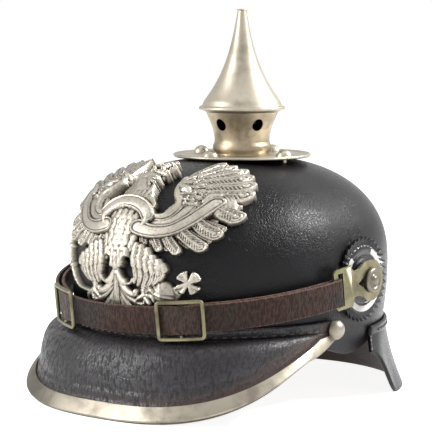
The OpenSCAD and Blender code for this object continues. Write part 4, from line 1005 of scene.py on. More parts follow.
def wing(r):
    """One wing: filling, long feathers, coverts, ribbon, arm."""
    r.stroke([(13, 58), (24, 58), (33, 63), (40, 71), (43, 79)], [5, 7, 8, 8, 6], 2.6, camber=0.2)
    r.stroke([(23, 95), (31, 92), (37, 84), (40, 76)], [6, 8, 8, 7], 3.2, camber=0.2)
    r.stroke([(26, 70), (30, 78), (31, 88), (25, 97)], [6, 7, 7, 5], 4.2, camber=0.2)
    primaries = (((21, 97), (25, 113.5), 3.0, 5.2, 0.04), ((24, 97), (31, 108.6), 3.2, 5.6, 0.05),
                 ((27, 96), (37.2, 103.4), 3.4, 5.9, 0.05), ((30, 93), (42.6, 96.6), 3.4, 6.2, 0.05),
                 ((33, 88), (46.8, 89.6), 3.5, 6.4, 0.03), ((35, 82.5), (49.2, 81.8), 4.1, 6.7, 0.02))
    for root, tip, w, h, bend in primaries:
        feather(r, root, tip, w, h - 1.0, bend=bend, lift=0.5)
    feather(r, (40, 78), (50.4, 74.8), 1.7, 4.0)
    feather(r, (42, 74), (52.0, 67.4), 3.9, 5.2, rim=0.8, camber=1.6)
    secondaries = (((37, 66), (48.4, 60.6), 2.6, 3.2, 0), ((37, 65), (47.0, 56.9), 3.6, 4.8, -0.05),
                   ((34, 61), (45.0, 53.3), 1.7, 3.0, -0.03), ((31, 60), (42.4, 49.6), 3.4, 4.9, -0.04),
                   ((28, 58), (37.4, 50.2), 1.8, 3.2, -0.03), ((25, 57), (31.8, 47.3), 2.9, 4.7, -0.03),
                   ((22, 56), (27.2, 48.6), 1.8, 3.2, 0), ((19, 56), (22.8, 48.4), 2.5, 4.4, 0),
                   ((16, 56), (18.5, 50.6), 1.8, 3.2, 0), ((12.6, 56), (14.4, 51), 2.2, 4.2, 0))
    for root, tip, w, h, bend in secondaries:
        feather(r, root, tip, w, h, bend=bend, rim=0.75, camber=1.4, tilt=0.35)
    # coverts: three rows of short feathers over the roots of the long ones
    outer = (((20, 93), (24.5, 101.5)), ((22.5, 92), (28.6, 98.4)), ((25, 90), (32, 94)),
             ((27, 87), (34.4, 89)), ((28.5, 84), (36, 84)), ((29, 80), (36.4, 79)),
             ((29, 76), (35.6, 74.6)))
    middle = (((20.5, 92), (23, 97.6)), ((23, 90), (27, 94)), ((25, 87), (30.2, 90)),
              ((26.5, 84), (32, 85)), ((27, 80), (32.4, 80)), ((27.5, 76), (32, 75.4)))
    inner = (((21, 89), (24, 92.6)), ((23, 86), (27.5, 87.4)), ((24.5, 82), (29.3, 82.6)),
             ((26, 78), (30.2, 78)))
    for row, w, h, rim, camber, tilt, barbs in ((outer, 2.5, 5.4, 0.4, 0.9, 0.3, 0.1),
                                                (middle, 2.1, 6.1, 0.4, 0.9, 0.3, 0.1),
                                                (inner, 1.8, 6.6, 0.35, 0.8, 0.2, 0.08)):
        for root, tip in row:
            feather(r, root, tip, w, h, rim=rim, camber=camber, tilt=tilt, barbs=barbs)
    # ribbon: an upper and a lower fold, plain, with fine raised edges, and its flared end
    r.stroke([(14, 62.6), (20, 62.8), (26.3, 65), (30.2, 70), (32, 77)], [2.2, 2.3, 2.8, 3.2, 3.4],
             [5.6, 5.4, 5.4, 5.6, 5.4], camber=0.3, inlay=0.3)
    for k in range(5):
        top = np.array([38.5 + 1.6 * k, 81.9])
        foot = np.array([44.5 + 1.5 * k, 70.2 - 0.04 * k])
        r.stroke([top, (top + foot) / 2 + (0.6, 0.2), foot], [1.0, 1.3, 1.5],
                 [5.6, 6.2 - 0.15 * k, 5.7 - 0.3 * k], camber=0.7)
    lower = [(10.5, 59.4), (15, 57.8), (20.4, 57.3), (28.2, 59.2), (34.2, 64.4), (38.6, 70.6),
             (41.4, 76.4)]
    r.stroke(lower, [4.4, 3.9, 3.6, 3.6, 3.8, 3.8, 4.0], [7.0, 6.8, 6.5, 6.3, 6.3, 6.5, 6.2],
             camber=0.25, rim=0.5, edge=0.1, steep=7, inlay=0.35)
    r.stroke([(36.8, 77.6), (38, 81), (41.4, 81.6)], [1.3, 1.7, 1.2], [7.0, 7.3, 6.6])
    # arm: a rolled leading edge with a fine line along it, the wrist and the shoulder
    arm = [(19.4, 95), (19.3, 89.5), (22, 83.6), (25.6, 78), (25.6, 72.6), (22, 67.8), (17.6, 66.9),
           (13.8, 68.6)]
    r.stroke(arm, [1.2, 1.5, 2.0, 2.3, 2.4, 2.3, 1.9, 1.6], [6.0, 6.4, 6.9, 7.2, 7.2, 7.0, 6.9, 7.0],
             camber=1.7)
    r.line([(28.4, 80), (28.5, 74), (26, 67.6), (21, 64.6), (15.4, 65.4)], 0.45, 0.7)
    r.line([(21.4, 81), (23.8, 76.4), (23.4, 71.4), (20.6, 69), (17, 68.8)], 0.45, -0.5)
    r.stroke([(21.6, 89), (24.6, 86.4), (27.4, 83.4)], [1.7, 2.5, 1.8], [7.4, 8.1, 7.5], camber=1.8)
    r.dome(20.2, 95.4, 2.6, 2.4, 7.0)
    r.dome(22.4, 91.4, 1.7, 1.8, 7.3)
    for x, s in ((24.2, 94.6), (26.4, 91.6), (28.8, 87.6), (29.6, 83.4), (25.6, 97.2)):
        r.dome(x, s, 1.0, 1.2, 7.0, flat=1.2)


def leg(r):
    """One thigh: rows of rounded scales above, long ridged feathers below."""
    r.stroke([(10.1, 45), (16, 40), (19, 34.5), (17, 31)], [4, 6.5, 7.2, 5], [4.2, 4.6, 4.4, 3.6],
             camber=1.6)
    ridges = (((11.5, 38), (12.2, 33), (11.2, 30.2)), ((14.6, 38), (15.0, 33), (13.4, 29)),
              ((18, 37.4), (18.2, 32.6), (16, 28.4)), ((21.4, 36.4), (21.4, 32), (18.4, 28.4)),
              ((24.4, 35.6), (24, 32), (21, 29)), ((26.6, 36), (26.4, 33.4), (23.6, 30.6)))
    for line in ridges:
        r.stroke(line, [1.5, 1.6, 0.9], [5.0, 4.9, 4.0], camber=1.3, rim=0.2, groove=0.5)
    rows = (((11, 39), (14.6, 38.2), (18.2, 36.9), (21.6, 35.6), (24.6, 35.8)),
            ((10.8, 42), (14.2, 41.4), (17.8, 40), (21.3, 38.2), (24.8, 37.6), (27.4, 36.8)),
            ((11.2, 45), (14.7, 44.4), (18.4, 42.8), (22.1, 40.8), (25.4, 38.8)),
            ((11.4, 47.2), (15, 46.4), (18.8, 44.8)))
    for k, row in enumerate(rows):
        for x, s in row:
            out = np.array([x - 14, s - 52.0])
            out /= np.linalg.norm(out)
            r.stroke([(x - out[0] * 0.8, s + 1.9), (x + out[0] * 0.6, s - 0.2)], [1.7, 1.75],
                     [5.6 + 0.28 * k, 5.3 + 0.28 * k], camber=1.1, rim=0.35, barbs=0.06, pitch=0.9)
    # foot: a ringed shank and three toes
    r.stroke([(17, 29), (16.6, 25.4), (18.6, 21.6)], [2.4, 1.9, 2.0], [3.8, 3.9, 4.0], camber=1.2,
             barbs=0.22, pitch=1.3, slant=0.0)
    for toe in (((17, 24), (13.4, 21.6), (11.4, 18.6)), ((18, 22.6), (17, 19), (16.4, 16)),
                ((18.6, 23.4), (21.4, 21), (22.2, 17.6))):
        r.stroke(toe, [1.5, 1.5, 0.8], [4.2, 4.4, 3.6], camber=1.1, barbs=0.15, pitch=1.2, slant=0.0)


def tail(r):
    """Stem with ribs, curled leaves in pairs on each side, and spreading blades."""
    for _ in r.sides():
        r.stroke([(1.2, 28), (4.4, 21), (8.6, 15.4), (13, 12)], [1.4, 1.9, 2.2, 1.4], 3.0, rim=0.4)
        r.stroke([(0.8, 26), (2.6, 18), (4.6, 11)], [1.2, 1.9, 2.1], 3.1, rim=0.4, groove=0.4)
        r.stroke([(1.6, 30.6), (5, 25.4), (9.6, 21), (15, 18.8), (17.6, 20.4)],
                 [1.0, 1.6, 1.7, 1.3, 0.9], [3.4, 3.8, 3.9, 3.8, 3.6], rim=0.4, camber=0.9)
        r.stroke([(1.2, 32), (4.2, 28.4), (8, 25), (11.4, 24), (12.4, 25.8)],
                 [1.1, 1.7, 1.8, 1.6, 1.3], [3.9, 4.3, 4.5, 4.6, 4.6], rim=0.45, camber=1.0)
        r.dome(11.6, 25.0, 1.8, 1.7, 5.0)
        r.stroke([(0.9, 35), (2.6, 31.6), (5.6, 29.9), (9.4, 30.4), (10.2, 31.4)],
                 [1.2, 1.6, 1.5, 1.1, 0.7], [4.6, 4.8, 4.8, 4.6, 4.2], rim=0.4, camber=1.0)
    r.stroke([(0, 36.5), (0, 28), (0, 20), (0, 10.5)], [1.0, 1.5, 2.0, 2.6], [4.8, 4.6, 4.2, 3.6],
             groove=0.6)
    for _ in r.sides():
        r.line([(0.5, 33), (0.9, 26), (1.1, 20), (1.4, 11)], 0.3, -0.4)


def body(r):
    """Breast, belly, neck, head with crown, the ribbon over the breast, and the crown's orb and cross.
    """
    r.stroke([(0, 72), (0, 62), (0, 52), (0, 45)], [11.5, 12.6, 10.6, 7.6], [6.4, 6.9, 6.2, 5.4],
             camber=1.6)
    r.stroke([(0, 47), (0, 42), (0.2, 39.4), (0.2, 37.6)], [7.4, 4.0, 3.4, 2.6], [5.6, 5.6, 5.4, 5.2])
    # neck feathers run up to the head
    r.stroke([(1, 74), (-0.6, 82), (-1, 89)], [12.4, 8.8, 6.6], [6.6, 6.8, 6.8], camber=2.0)
    rng = np.random.default_rng(7)
    for row in range(7):
        s = 73 + row * 2.7
        half = 11.5 - row * 0.95
        count = 9 - row // 2
        for k in range(count):
            x = -half + (k + 0.5 * (row % 2)) * 2 * half / (count - 0.5) - 0.15 * row
            lean = x * 0.06
            r.stroke([(x - lean, s + 2.4), (x + lean * 0.6, s - 1.6)], [1.0, 1.35],
                     7.0 - 0.055 * x * x * 0.35 + 0.1 * rng.random(), camber=0.9, groove=0.25)
    # plain breast feathers inside the ribbon's arc, and the belly's scalloped rows
    for row in range(7):
        s = 66 - row * 3.0
        half = (7.0, 8.6, 9.2, 9.0, 8.6, 8.2, 7.6)[row]
        count = 5 + (row % 2)
        for k in range(count):
            x = -half + 2 * half * k / (count - 1)
            r.stroke([(x, s + 2.2), (x, s - 1.0)], [1.75, 1.9], 7.5 - 0.02 * x * x - 0.16 * row,
                     camber=0.7, rim=0.2, barbs=0.06, pitch=1.0)
    for s, xs, h in ((43.6, (-6, -2, 2, 6), 6.3), (41.2, (-4, 0, 4), 6.1), (38.8, (-2.4, 2.4), 5.9),
                     (37.6, (0.1,), 5.8)):
        for x in xs:
            r.stroke([(x, s + 2.2), (x, s - 0.7)], [1.8, 1.7], h, camber=1.0, rim=0.3)
    # the ribbon's arc over the breast
    r.stroke([(-13.6, 66.6), (-10.6, 70.4), (-5.4, 73.6), (0, 74.4), (5.6, 73.4), (10.8, 70.2),
              (13.8, 66)], [3.2, 3.7, 4.0, 4.1, 4.0, 3.7, 3.3], [7.6, 8.1, 8.4, 8.5, 8.4, 8.1, 7.6],
             camber=0.3, rim=0.45, edge=0.1, steep=7, inlay=0.35)
    for _ in r.sides():
        r.stroke([(13.4, 68), (13.6, 64), (12.6, 60.6)], [1.5, 1.7, 1.4], [7.8, 7.8, 7.2])
    # head turned to the wearer's right, with beak, eye and tongue
    r.stroke([(0, 86), (-0.6, 91), (-2, 95.4)], [6.4, 6.0, 5.4], [7.2, 7.6, 7.4], camber=2.0)
    r.dome(-1.4, 95.2, 6.4, 4.8, 8.2, flat=2.6)
    r.stroke([(-5, 96.4), (-9.4, 97.6), (-12.8, 96.4), (-14.2, 93.6)], [3.0, 2.2, 1.6, 0.6],
             [7.2, 6.6, 5.6, 4.4], camber=1.6)
    r.stroke([(-5, 93), (-8.6, 92.6), (-11, 92.8)], [1.6, 1.1, 0.5], [6.4, 5.4, 4.6], camber=1.0)
    r.dome(-4.0, 97.0, 1.0, 0.9, 8.6, flat=1.0)
    r.line([(-6.4, 98.6), (-4, 98.9), (-1.8, 98.2)], 0.45, 0.6)
    for k in range(6):
        c, s = cos_sin(-50 + 36 * k)
        r.stroke([(0.5, 93), (0.5 + 5.4 * c, 91.4 + 4.4 * s)], [1.1, 0.8], 7.9, camber=0.9)
    # crown: band, arches with pearls, orb and cross
    r.stroke([(-5, 101.2), (0, 101.8), (6.4, 100.8)], [1.3, 1.4, 1.3], [6.2, 6.8, 6.2], rim=0.3)
    for x in (-4, -1.4, 1.2, 3.8, 6):
        r.dome(x, 101.5, 0.7, 0.7, 7.4, flat=1.0)
    r.stroke([(0.6, 103), (0.9, 106.6), (1.2, 109.4)], [6.2, 6.6, 2.6], [4.4, 4.6, 4.6], camber=0.6)
    for a, b, c in (((-4.6, 103), (-5.6, 106.6), (-1.6, 110)), ((0.6, 103), (0.8, 106.6), (1, 110.4)),
                    ((5.8, 102.6), (7.6, 106.4), (3.4, 110))):
        r.stroke([a, b, c], [0.9, 1.0, 0.8], [6.2, 6.8, 6.2], camber=0.7)
        for f in (0.2, 0.5, 0.8):
            x, s = (p + (q - p) * min(1, 2 * f) + (o - q) * max(0, 2 * f - 1)
                    for p, q, o in zip(a, b, c))
            r.dome(x, s, 0.75, 0.75, 7.5, flat=0.9)
    r.dome(1.1, 111.2, 1.5, 1.3, 6.8)
    r.stroke([(1.1, 112.4), (1.2, 115.4)], [0.6, 1.0], 5.4)
    r.stroke([(-0.6, 114), (3, 114)], [0.9, 0.9], 5.4)


def regalia(r):
    """Orb with its cross on the wearer's left, sceptre on the right, and the claws that hold them."""
    r.dome(26.4, 24.6, 6.9, 6.4, 6.6, flat=3.6)
    r.line([(21.4, 27), (25, 24.6), (31.6, 22.6)], 0.5, 0.5)
    r.line([(22.6, 29), (26.4, 26.2), (32, 25)], 0.5, 0.5)
    r.line([(25.2, 30), (26.4, 26), (26, 19.6)], 0.5, 0.4)
    r.stroke([(31, 24.6), (34.6, 27.2), (38, 30)], [4.2, 2.6, 0.9], [3.6, 3.6, 4.2], camber=0.8,
             barbs=0.15, pitch=1.4, slant=0.0)
    for a in (40, 130, 220, 310):
        for spread_by in (-21, -7, 7, 21):
            c, s = cos_sin(a + spread_by)
            r.stroke([(38.8 + c * out, 30.6 + s * out) for out in (0.6, 2.6, 4.9)], [0.5, 0.7, 0.95],
                     [4.3, 4.0 + 0.02 * abs(spread_by), 3.8 + 0.04 * abs(spread_by)],
                     camber=0.3, steep=8)
    r.dome(38.8, 30.6, 0.8, 0.8, 4.8, flat=1)
    for line in (((19, 26), (21.6, 27), (23.2, 25)), ((19, 24), (22, 23.6), (23, 21)),
                 ((18, 22), (20.4, 20), (20.4, 18))):
        r.stroke(line, [1.5, 1.3, 0.7], [4.8, 6.6, 6.4], camber=1.0)
    r.dome(20.6, 27.6, 1.4, 1.4, 5.8, flat=1.4)
    r.stroke([(-17, 22.6), (-26, 23), (-34, 24.6), (-42, 32), (-47, 42), (-49.4, 53)],
             [1.1, 0.9, 0.9, 0.9, 1.0, 1.1], [4.2, 3.6, 3.4, 3.6, 3.8, 3.8], camber=1.0, barbs=0.15,
             pitch=3.0, slant=0.0)
    r.dome(-49.8, 55, 2.2, 2.4, 4.6)
    r.dome(-47.4, 43, 2.0, 1.6, 4.4)
    r.dome(-42.6, 33, 1.9, 1.6, 4.2)


def arc_point(x, s):
    """The point of the skull's front at x across and s up along it."""
    g, z = dome_arc(np.radians(np.maximum(0, s - WALL) / ARC_STEP))
    g = np.where(s <= WALL, shrink(np.minimum(s, WALL)), g)
    z = np.where(s <= WALL, s, z)
    y = -SKULL_MID - SKULL_FRONT * np.sqrt(np.maximum(0.001, g * g - (x / SKULL_W) ** 2))
    return np.stack([x, y, z], -1)


def skull_normal(p):
    x, y, z = p[..., 0], p[..., 1] + SKULL_MID, p[..., 2]
    k = np.hypot(x / SKULL_W, y / SKULL_FRONT) ** (POWER - 2)
    u = np.maximum(0, (z - WALL) / (CROWN - WALL))
    return unit(np.stack([k * x / SKULL_W ** 2, k * y / SKULL_FRONT ** 2,
                          u ** (POWER - 1) / (CROWN - WALL)], -1))


def blurred(h, reach):
    """Each height's mean over the square that reaches so many cells from it."""
    wide = 2 * reach + 1
    for axis in (0, 1):
        first, last = (np.repeat(np.take(h, [end], axis), reach, axis) for end in (0, -1))
        run = np.cumsum(np.concatenate([first, h, last], axis), axis)
        run = np.concatenate([np.zeros_like(np.take(run, [0], axis)), run], axis)
        at = np.arange(h.shape[axis])
        h = (np.take(run, at + wide, axis) - np.take(run, at, axis)) / wide
    return h


def build_eagle():
    r = Relief()
    for _ in r.sides():
        wing(r)
        leg(r)
    tail(r)
    body(r)
    regalia(r)
    for line, width in ((((-5.6, 40), (-6.2, 37)), 1.3), (((-6.6, 35.6), (-7, 33.6)), 1.9),
                        (((-7.4, 32.6), (-8, 31.8)), 0.8), (((6.4, 40.4), (7.4, 37.4)), [0.8, 1.3]),
                        (((7.2, 36), (7, 33.8)), [1.3, 1.6]), (((7.6, 33), (8, 31.6)), [1.0, 0.7])):
        r.cut(line, width)
    h = r.h
    points = arc_point(r.x, r.s)
    places = to_row(points + skull_normal(points) * h[..., None])
    # painted shade: dark where the plate lies lower than what is round it, and along its foot
    tones = np.clip((blurred(h, 5) - h) * 1.7 + (blurred(h, 1) - h) * 5.0 - 0.02, 0, 1)
    tones = np.maximum(tones, 1 - smooth((h - 0.2) / 1.6))
    plate_foot = -1.2
    keep = h > plate_foot
    half = len(h) // 2
    for name, cut in (("eagle_right_half", slice(0, half + 1)),
                      ("eagle_left_half", slice(half, None))):
        part, tone, inside = places[cut], tones[cut], keep[cut]
        bm = bmesh.new()
        layer = bm.verts.layers.float.new("tone")
        drop = []
        for vert, i, j in new_grid(bm, *inside.shape):
            vert.co = part[i, j]
            vert[layer] = tone[i, j]
            if not inside[max(0, i - 1):i + 2, max(0, j - 1):j + 2].any():
                drop.append(vert)
        bmesh.ops.delete(bm, geom=drop, context="VERTS")
        loose = [v for v in bm.verts if not v.link_faces]
        bmesh.ops.delete(bm, geom=loose, context="VERTS")
        finish_mesh(name, bm, "helmet", "white_metal", ["eagle_plate"], sharp=180, look="eagle_metal",
                    facing=Vector((0, -1, 0.4)))


# Turned fittings: base plate, neck, spike and the strip down the back

SHEET_T, NECK_H, WAIST_R, PLATE_R = 0.8, 24.4, 16.0, 40.0
PLATE_Z = CROWN + SEAT_GAP + SHEET_T
NECK_Z = PLATE_Z + 0.05
SPIKE_Z = NECK_Z + NECK_H + 0.25
MOUTH_R = WAIST_R + 5 - SHEET_T
RIM_R, SPIKE_RISE, TIP_R = 25.1, 55.3, 2.4


def build_base_plate():
    floor = PLATE_Z - 0.25
    bead = 0.95
    rim = [(PLATE_R - bead * (1 - c), floor - 0.1 + bead * s)
           for c, s in map(cos_sin, range(135, -136, -15))]
    profile = [(13, PLATE_Z - SHEET_T), (13, PLATE_Z), (18.6, PLATE_Z), (19.4, PLATE_Z - 0.04),
               (20.4, floor + 0.03), (21.4, floor), (28, floor + 0.05), (34, floor),
               (36.4, floor - 0.05)]
    profile += rim + [(36.8, floor - SHEET_T), (21, floor - SHEET_T), (19, PLATE_Z - SHEET_T),
                      profile[0]]
    bm = bmesh.new()
    lathe(bm, profile)
    finish_mesh("plate_disc", bm, "helmet", "white_metal", ["base_plate"], sharp=50)


def build_neck():
    flare = [(0.1, 0), (0.1, 0.03), (0.55, 0.07), (0.95, 0.115), (1.0, 0.16), (0.9, 0.21),
             (0.45, 0.255), (0.05, 0.3), (0, 0.36), (0.3, 0.46), (1.1, 0.6), (2.2, 0.72),
             (3.5, 0.85), (5, 1)]
    line = along([(WAIST_R + r, NECK_Z + z * NECK_H) for r, z in flare], 90)
    count, holes, hole_r, first, reach = 400, 5, 3.4, -5.0, 0.3
    hole_z = NECK_Z + 0.715 * NECK_H
    r, z = line[:, 0], line[:, 1]
    turns, rr = np.meshgrid(np.linspace(0, 360, count, endpoint=False), r, indexing="ij")
    zz = np.tile(z, (count, 1))
    wide = 360 / holes
    centre = first + np.rint((turns - first) / wide) * wide
    across = np.radians(turns - centre) * rr
    off = np.hypot(across, zz - hole_z)
    # corners next to a hole's edge are drawn onto it
    near = np.abs(off - hole_r) < reach
    share = np.where(near, hole_r / np.maximum(off, 1e-6), 1)
    turns = centre + np.degrees(across * share / rr)
    zz = hole_z + (zz - hole_z) * share
    open_hole = off < hole_r - reach
    a = np.radians(turns)
    rows = []
    for inset in (0, SHEET_T):
        radius = np.interp(zz, z, r) - inset
        rows.append(np.stack([radius * np.sin(a), -radius * np.cos(a), zz], -1))
    points = np.concatenate([rows[0], rows[1][:, ::-1]], 1)
    gone = np.concatenate([open_hole, open_hole[:, ::-1]], 1)
    inside = np.repeat([0.0, 1.0], len(r))
    bm = bmesh.new()
    # a tone of 2 or more marks what the holes take away; tone 1 marks the inner wall, which gets a
    # painted shade
    skin(bm, points, wrap_u=True, wrap_v=True, tone=inside + 2 * gone)
    layer = bm.verts.layers.float["tone"]
    bmesh.ops.delete(bm, geom=[v for v in bm.verts if v[layer] > 1.5], context="VERTS")
    finish_mesh("neck_wall", bm, "helmet", "white_metal", ["spike_neck"], sharp=50, look="neck_metal")


RIM_BEAD = 1.25


def cone_radius(k):
    """The spike's outer radius at a share k of its rise below the tip."""
    return TIP_R + (RIM_R - 0.6 - TIP_R) * (0.56 * k ** 3 + 0.44 * k)


def build_spike():
    rim_z = SPIKE_Z + 3.2
    tip_z = rim_z + SPIKE_RISE
    profile = [(MOUTH_R + 0.1, SPIKE_Z + SHEET_T), (MOUTH_R + 0.1, SPIKE_Z), (MOUTH_R + 1.6, SPIKE_Z),
               (RIM_R - 2.0, SPIKE_Z + 0.7)]
    for c, s in map(cos_sin, range(-85, 91, 25)):
        profile.append((RIM_R - RIM_BEAD + RIM_BEAD * c, SPIKE_Z + 1.95 + RIM_BEAD * s))
    for k in np.linspace(1, 0, 70):
        profile.append((cone_radius(k) - smooth((k - 0.94) / 0.06), tip_z - k * SPIKE_RISE))
    profile += [(TIP_R + 0.1, tip_z - 0.9), (TIP_R + 0.45, tip_z - 0.5), (TIP_R + 0.7, tip_z - 0.05),
                (TIP_R + 0.5, tip_z + 0.25), (TIP_R, tip_z + 0.3), (TIP_R - SHEET_T + 0.2, tip_z - 0.2),
                (TIP_R - SHEET_T, tip_z - 1)]
    for k in np.linspace(0.02, 0.95, 24):
        profile.append((cone_radius(k) - SHEET_T * 1.1, tip_z - k * SPIKE_RISE))
    profile.append(profile[0])
    bm = bmesh.new()
    lathe(bm, profile)
    finish_mesh("spike_cone", bm, "spike", "white_metal", ["spike"], sharp=45)


def build_spine():
    out = SEAT_GAP + 0.5
    line = []
    for b in np.radians([62, 52, 43, 34, 26, 18, 11, 5]):
        g, z = dome_arc(b, out)
        line.append((0, (SKULL_REAR + out) * g, z))
    for z in (WALL * 0.7, FLANGE + 7):
        line.append((0, (SKULL_REAR + out) * float(shrink(z)), z))
    a, b = rear_seam(0.0, REAR_SEAM_Z), rear_edge(0.0)
    n = unit(np.cross([1.0, 0, 0], b - a))
    n = n if n[1] > 0 else -n
    line.append(rear_seam(0.0, REAR_SEAM_Z + FLANGE - 1) + (0, out, 0))
    for s in (0.05, 0.3, 0.55, 0.8):
        line.append(a + (b - a) * s - n * REAR_HOLLOW * math.sin(math.pi * s) + n * out)
    bm = bmesh.new()
    tube(bm, along(line, 160), round_box(0.8, 11, 0.3), up=(1, 0, 0))
    finish_mesh("spine_strip", bm, "helmet", "white_metal", ["rear_spine"], sharp=50)


# Side posts, cockades, chin strap and buckles

FLAT_X = SKULL_W + SEAT_GAP
COCKADE_R, COCKADE_BORE, DISC_R, TOOTH_FOOT, TEETH = 23.8, 3.1, 13.4, 18.3, 36
STRAP_SLOPE, STRAP_W, STRAP_T, LAYER = 7.2, 15.0, 2.0, 1.75
MID_A, STRAP_MID = SKULL_W + 8 - LAYER, POST_Y - SKULL_MID
MID_B = (108.5 + 8 - POST_Y) / math.cos(math.radians(STRAP_SLOPE)) + STRAP_MID - LAYER
TAB_SLOT, BEND_BACK, LUG_T = 11.0, 20.0, 1.2
LOOP_TURN = math.degrees(math.acos((BEND_BACK + TAB_SLOT * 0.95 + STRAP_MID) / MID_B))
BUCKLE_TURN, BUCKLE_W, BUCKLE_H, WIRE_D = 26.0, 27.0, 22.5, 2.4


def strap_out(t):
    a = np.radians(t)
    return unit(np.stack([MID_B * np.sin(a), -MID_A * np.cos(a)], -1))


def strap_point(t, off=0.0):
    a = np.radians(t)
    return np.stack([MID_A * np.sin(a), STRAP_MID - MID_B * np.cos(a)], -1) + strap_out(t) * off


def strap_plane(points):
    """From the strap's own plane, which leans down to the front about the posts."""
    out = np.array(points, float)
    c, s = cos_sin(STRAP_SLOPE)
    y, z = out[..., 1].copy(), out[..., 2].copy()
    out[..., 1] = y * c - z * s - POST_Y
    out[..., 2] = y * s + z * c + POST_Z
    return out


LOOP_BACK = np.array([-strap_out(LOOP_TURN)[1], strap_out(LOOP_TURN)[0]])
LUG_BEND = math.atan2(LOOP_BACK[0], LOOP_BACK[1])
LUG_X = strap_point(LOOP_TURN)[0] + TAB_SLOT * math.sin(LUG_BEND) - LUG_T / 2
POST_HEAD_X = LUG_X + LUG_T + 0.15


def post_place(flip):
    """From a frame whose Z is the post's axis, to the left side or (flip -1) the right one."""
    def place(points):
        x, y, z = points[..., 0], points[..., 1], points[..., 2]
        return np.stack([z * flip, y - POST_Y, POST_Z - x], -1)
    return place


def build_cockades():
    a = np.linspace(0, 2 * np.pi, TEETH * 12, endpoint=False)
    wave = np.abs(((a * TEETH / (2 * np.pi)) % 1) * 2 - 1)
    reach = COCKADE_R * (0.9 + 0.1 * wave)
    face, ring = FLAT_X + 1.8, detail("ring_inner")
    rib_height, rib_pitch = 0.16, 1.15
    rows = []    # [radius, x, share of white]
    for r in np.linspace(COCKADE_BORE, DISC_R, 34):
        rib = rib_height * math.cos(2 * math.pi * r / rib_pitch) * smooth((r - 5) / 1.5)
        rows.append((r, face - 0.3 + 0.25 * (r / DISC_R) + rib, 0))
    rows += [(r, face + x, tone) for r, x, tone in (
        (13.7, -0.25, 0), (14.1, 0.1, 0), (ring - 0.4, 0.2, 0.15), (ring, 0.25, 1), (16.0, 0.3, 1),
        (16.8, 0.3, 1), (17.6, 0.2, 1), (18.1, 0.1, 0.6), (TOOTH_FOOT, -0.35, 0))]
    for f in np.linspace(0.06, 1, 16):
        rise = detail("tooth_depth") * smooth(f / 0.3) * (wave - 0.6) - 0.9 * f - 0.15 + 0.8 * f * f
        rows.append((TOOTH_FOOT + (reach - TOOTH_FOOT) * f, face - 0.2 + rise, 0))
    for f in (1.0, 0.7, 0.4, 0.0):
        r = COCKADE_BORE + (reach - COCKADE_BORE) * f
        rows.append((r * 0.995, FLAT_X + 1.0 - 0.95 * f, 0))
    points = np.stack([np.stack([r * np.cos(a), r * np.sin(a), x + 0 * a], -1) for r, x, _ in rows], 1)
    # the paint of the ring is worn off at its top
    worn = smooth((np.cos(a - 3.3) - 0.78) / 0.1) * (0.9 + 0.1 * np.sin(a * 23))
    tones = np.outer(1 - worn, [tone for _, _, tone in rows])
    for side, flip in SIDES:
        bm = bmesh.new()
        skin(bm, post_place(flip)(points), wrap_u=True, wrap_v=True, tone=tones)
        finish_mesh(side + "_cockade_disc", bm, "helmet", "cockade_paint", [side + "_cockade"],
                    sharp=50)


def build_posts():
    inner = SKULL_W - SKULL_T - 5.1    # past the washer and the nut
    head = along([(6.2, 0), (6.9, 0.5), (7, 1.1), (6.7, 1.9), (5.8, 2.45), (4.9, 2.2), (4.1, 1.7),
                  (3.5, 1.6), (3.1, 1.85), (2.7, 2.5), (2.0, 3.2), (1.0, 3.55), (0.02, 3.6)], 60)
    profile = [(0.02, inner), (2.2, inner), (2.2, FLAT_X - 0.2), (3, FLAT_X - 0.2), (3, POST_HEAD_X)]
    profile += [(r, POST_HEAD_X + z) for r, z in head]
    for side, flip in SIDES:
        bm = bmesh.new()
        lathe(bm, profile, 64, post_place(flip))
        finish_mesh(side + "_post_stud", bm, "helmet", "white_metal", [side + "_post"], sharp=50,
                    look="dull_metal")


def cut_edge(section, inset, share):
    """Tones of a strap's section: share on its pale cut edges, from inset mm inside the width on."""
    return smooth((np.abs(section[:, 1]) - (STRAP_W / 2 - inset)) / 0.35) * share


def build_strap():
    end = BUCKLE_TURN + 2.6
    middle, n = strap_point(LOOP_TURN), strap_out(LOOP_TURN)
    side = [strap_point(t, -LAYER) for t in np.linspace(end, LOOP_TURN, 40)]
    side += [middle + (n * c + LOOP_BACK * s) * LAYER for c, s in map(cos_sin, range(165, 14, -15))]
    front = [strap_point(t, LAYER) for t in np.linspace(LOOP_TURN, -LOOP_TURN, 220)]
    flat = np.array(side + front + [p * [-1, 1] for p in side[::-1]])
    line = np.pad(flat, ((0, 0), (0, 1)))
    section = round_box(STRAP_T, STRAP_W, detail("strap_round"))
    tone = cut_edge(section, 0.62, 0.85)
    # the leather is cut by hand: its edges wander a little
    run = np.linspace(0, 1, len(line))
    wander = 0.16 * np.sin(run * 61) + 0.12 * np.sin(run * 143 + 1)
    sections = np.repeat(section[None], len(line), 0)
    sections[..., 1] *= 1 + (wander / STRAP_W * 0.8)[:, None] * np.sign(section[:, 1])[None] * 0.5
    bm = bmesh.new()
    tube(bm, line, sections, place=strap_plane, tone=tone)
    finish_mesh("strap_band", bm, "strap", "strap_leather", ["chinstrap"], sharp=70)


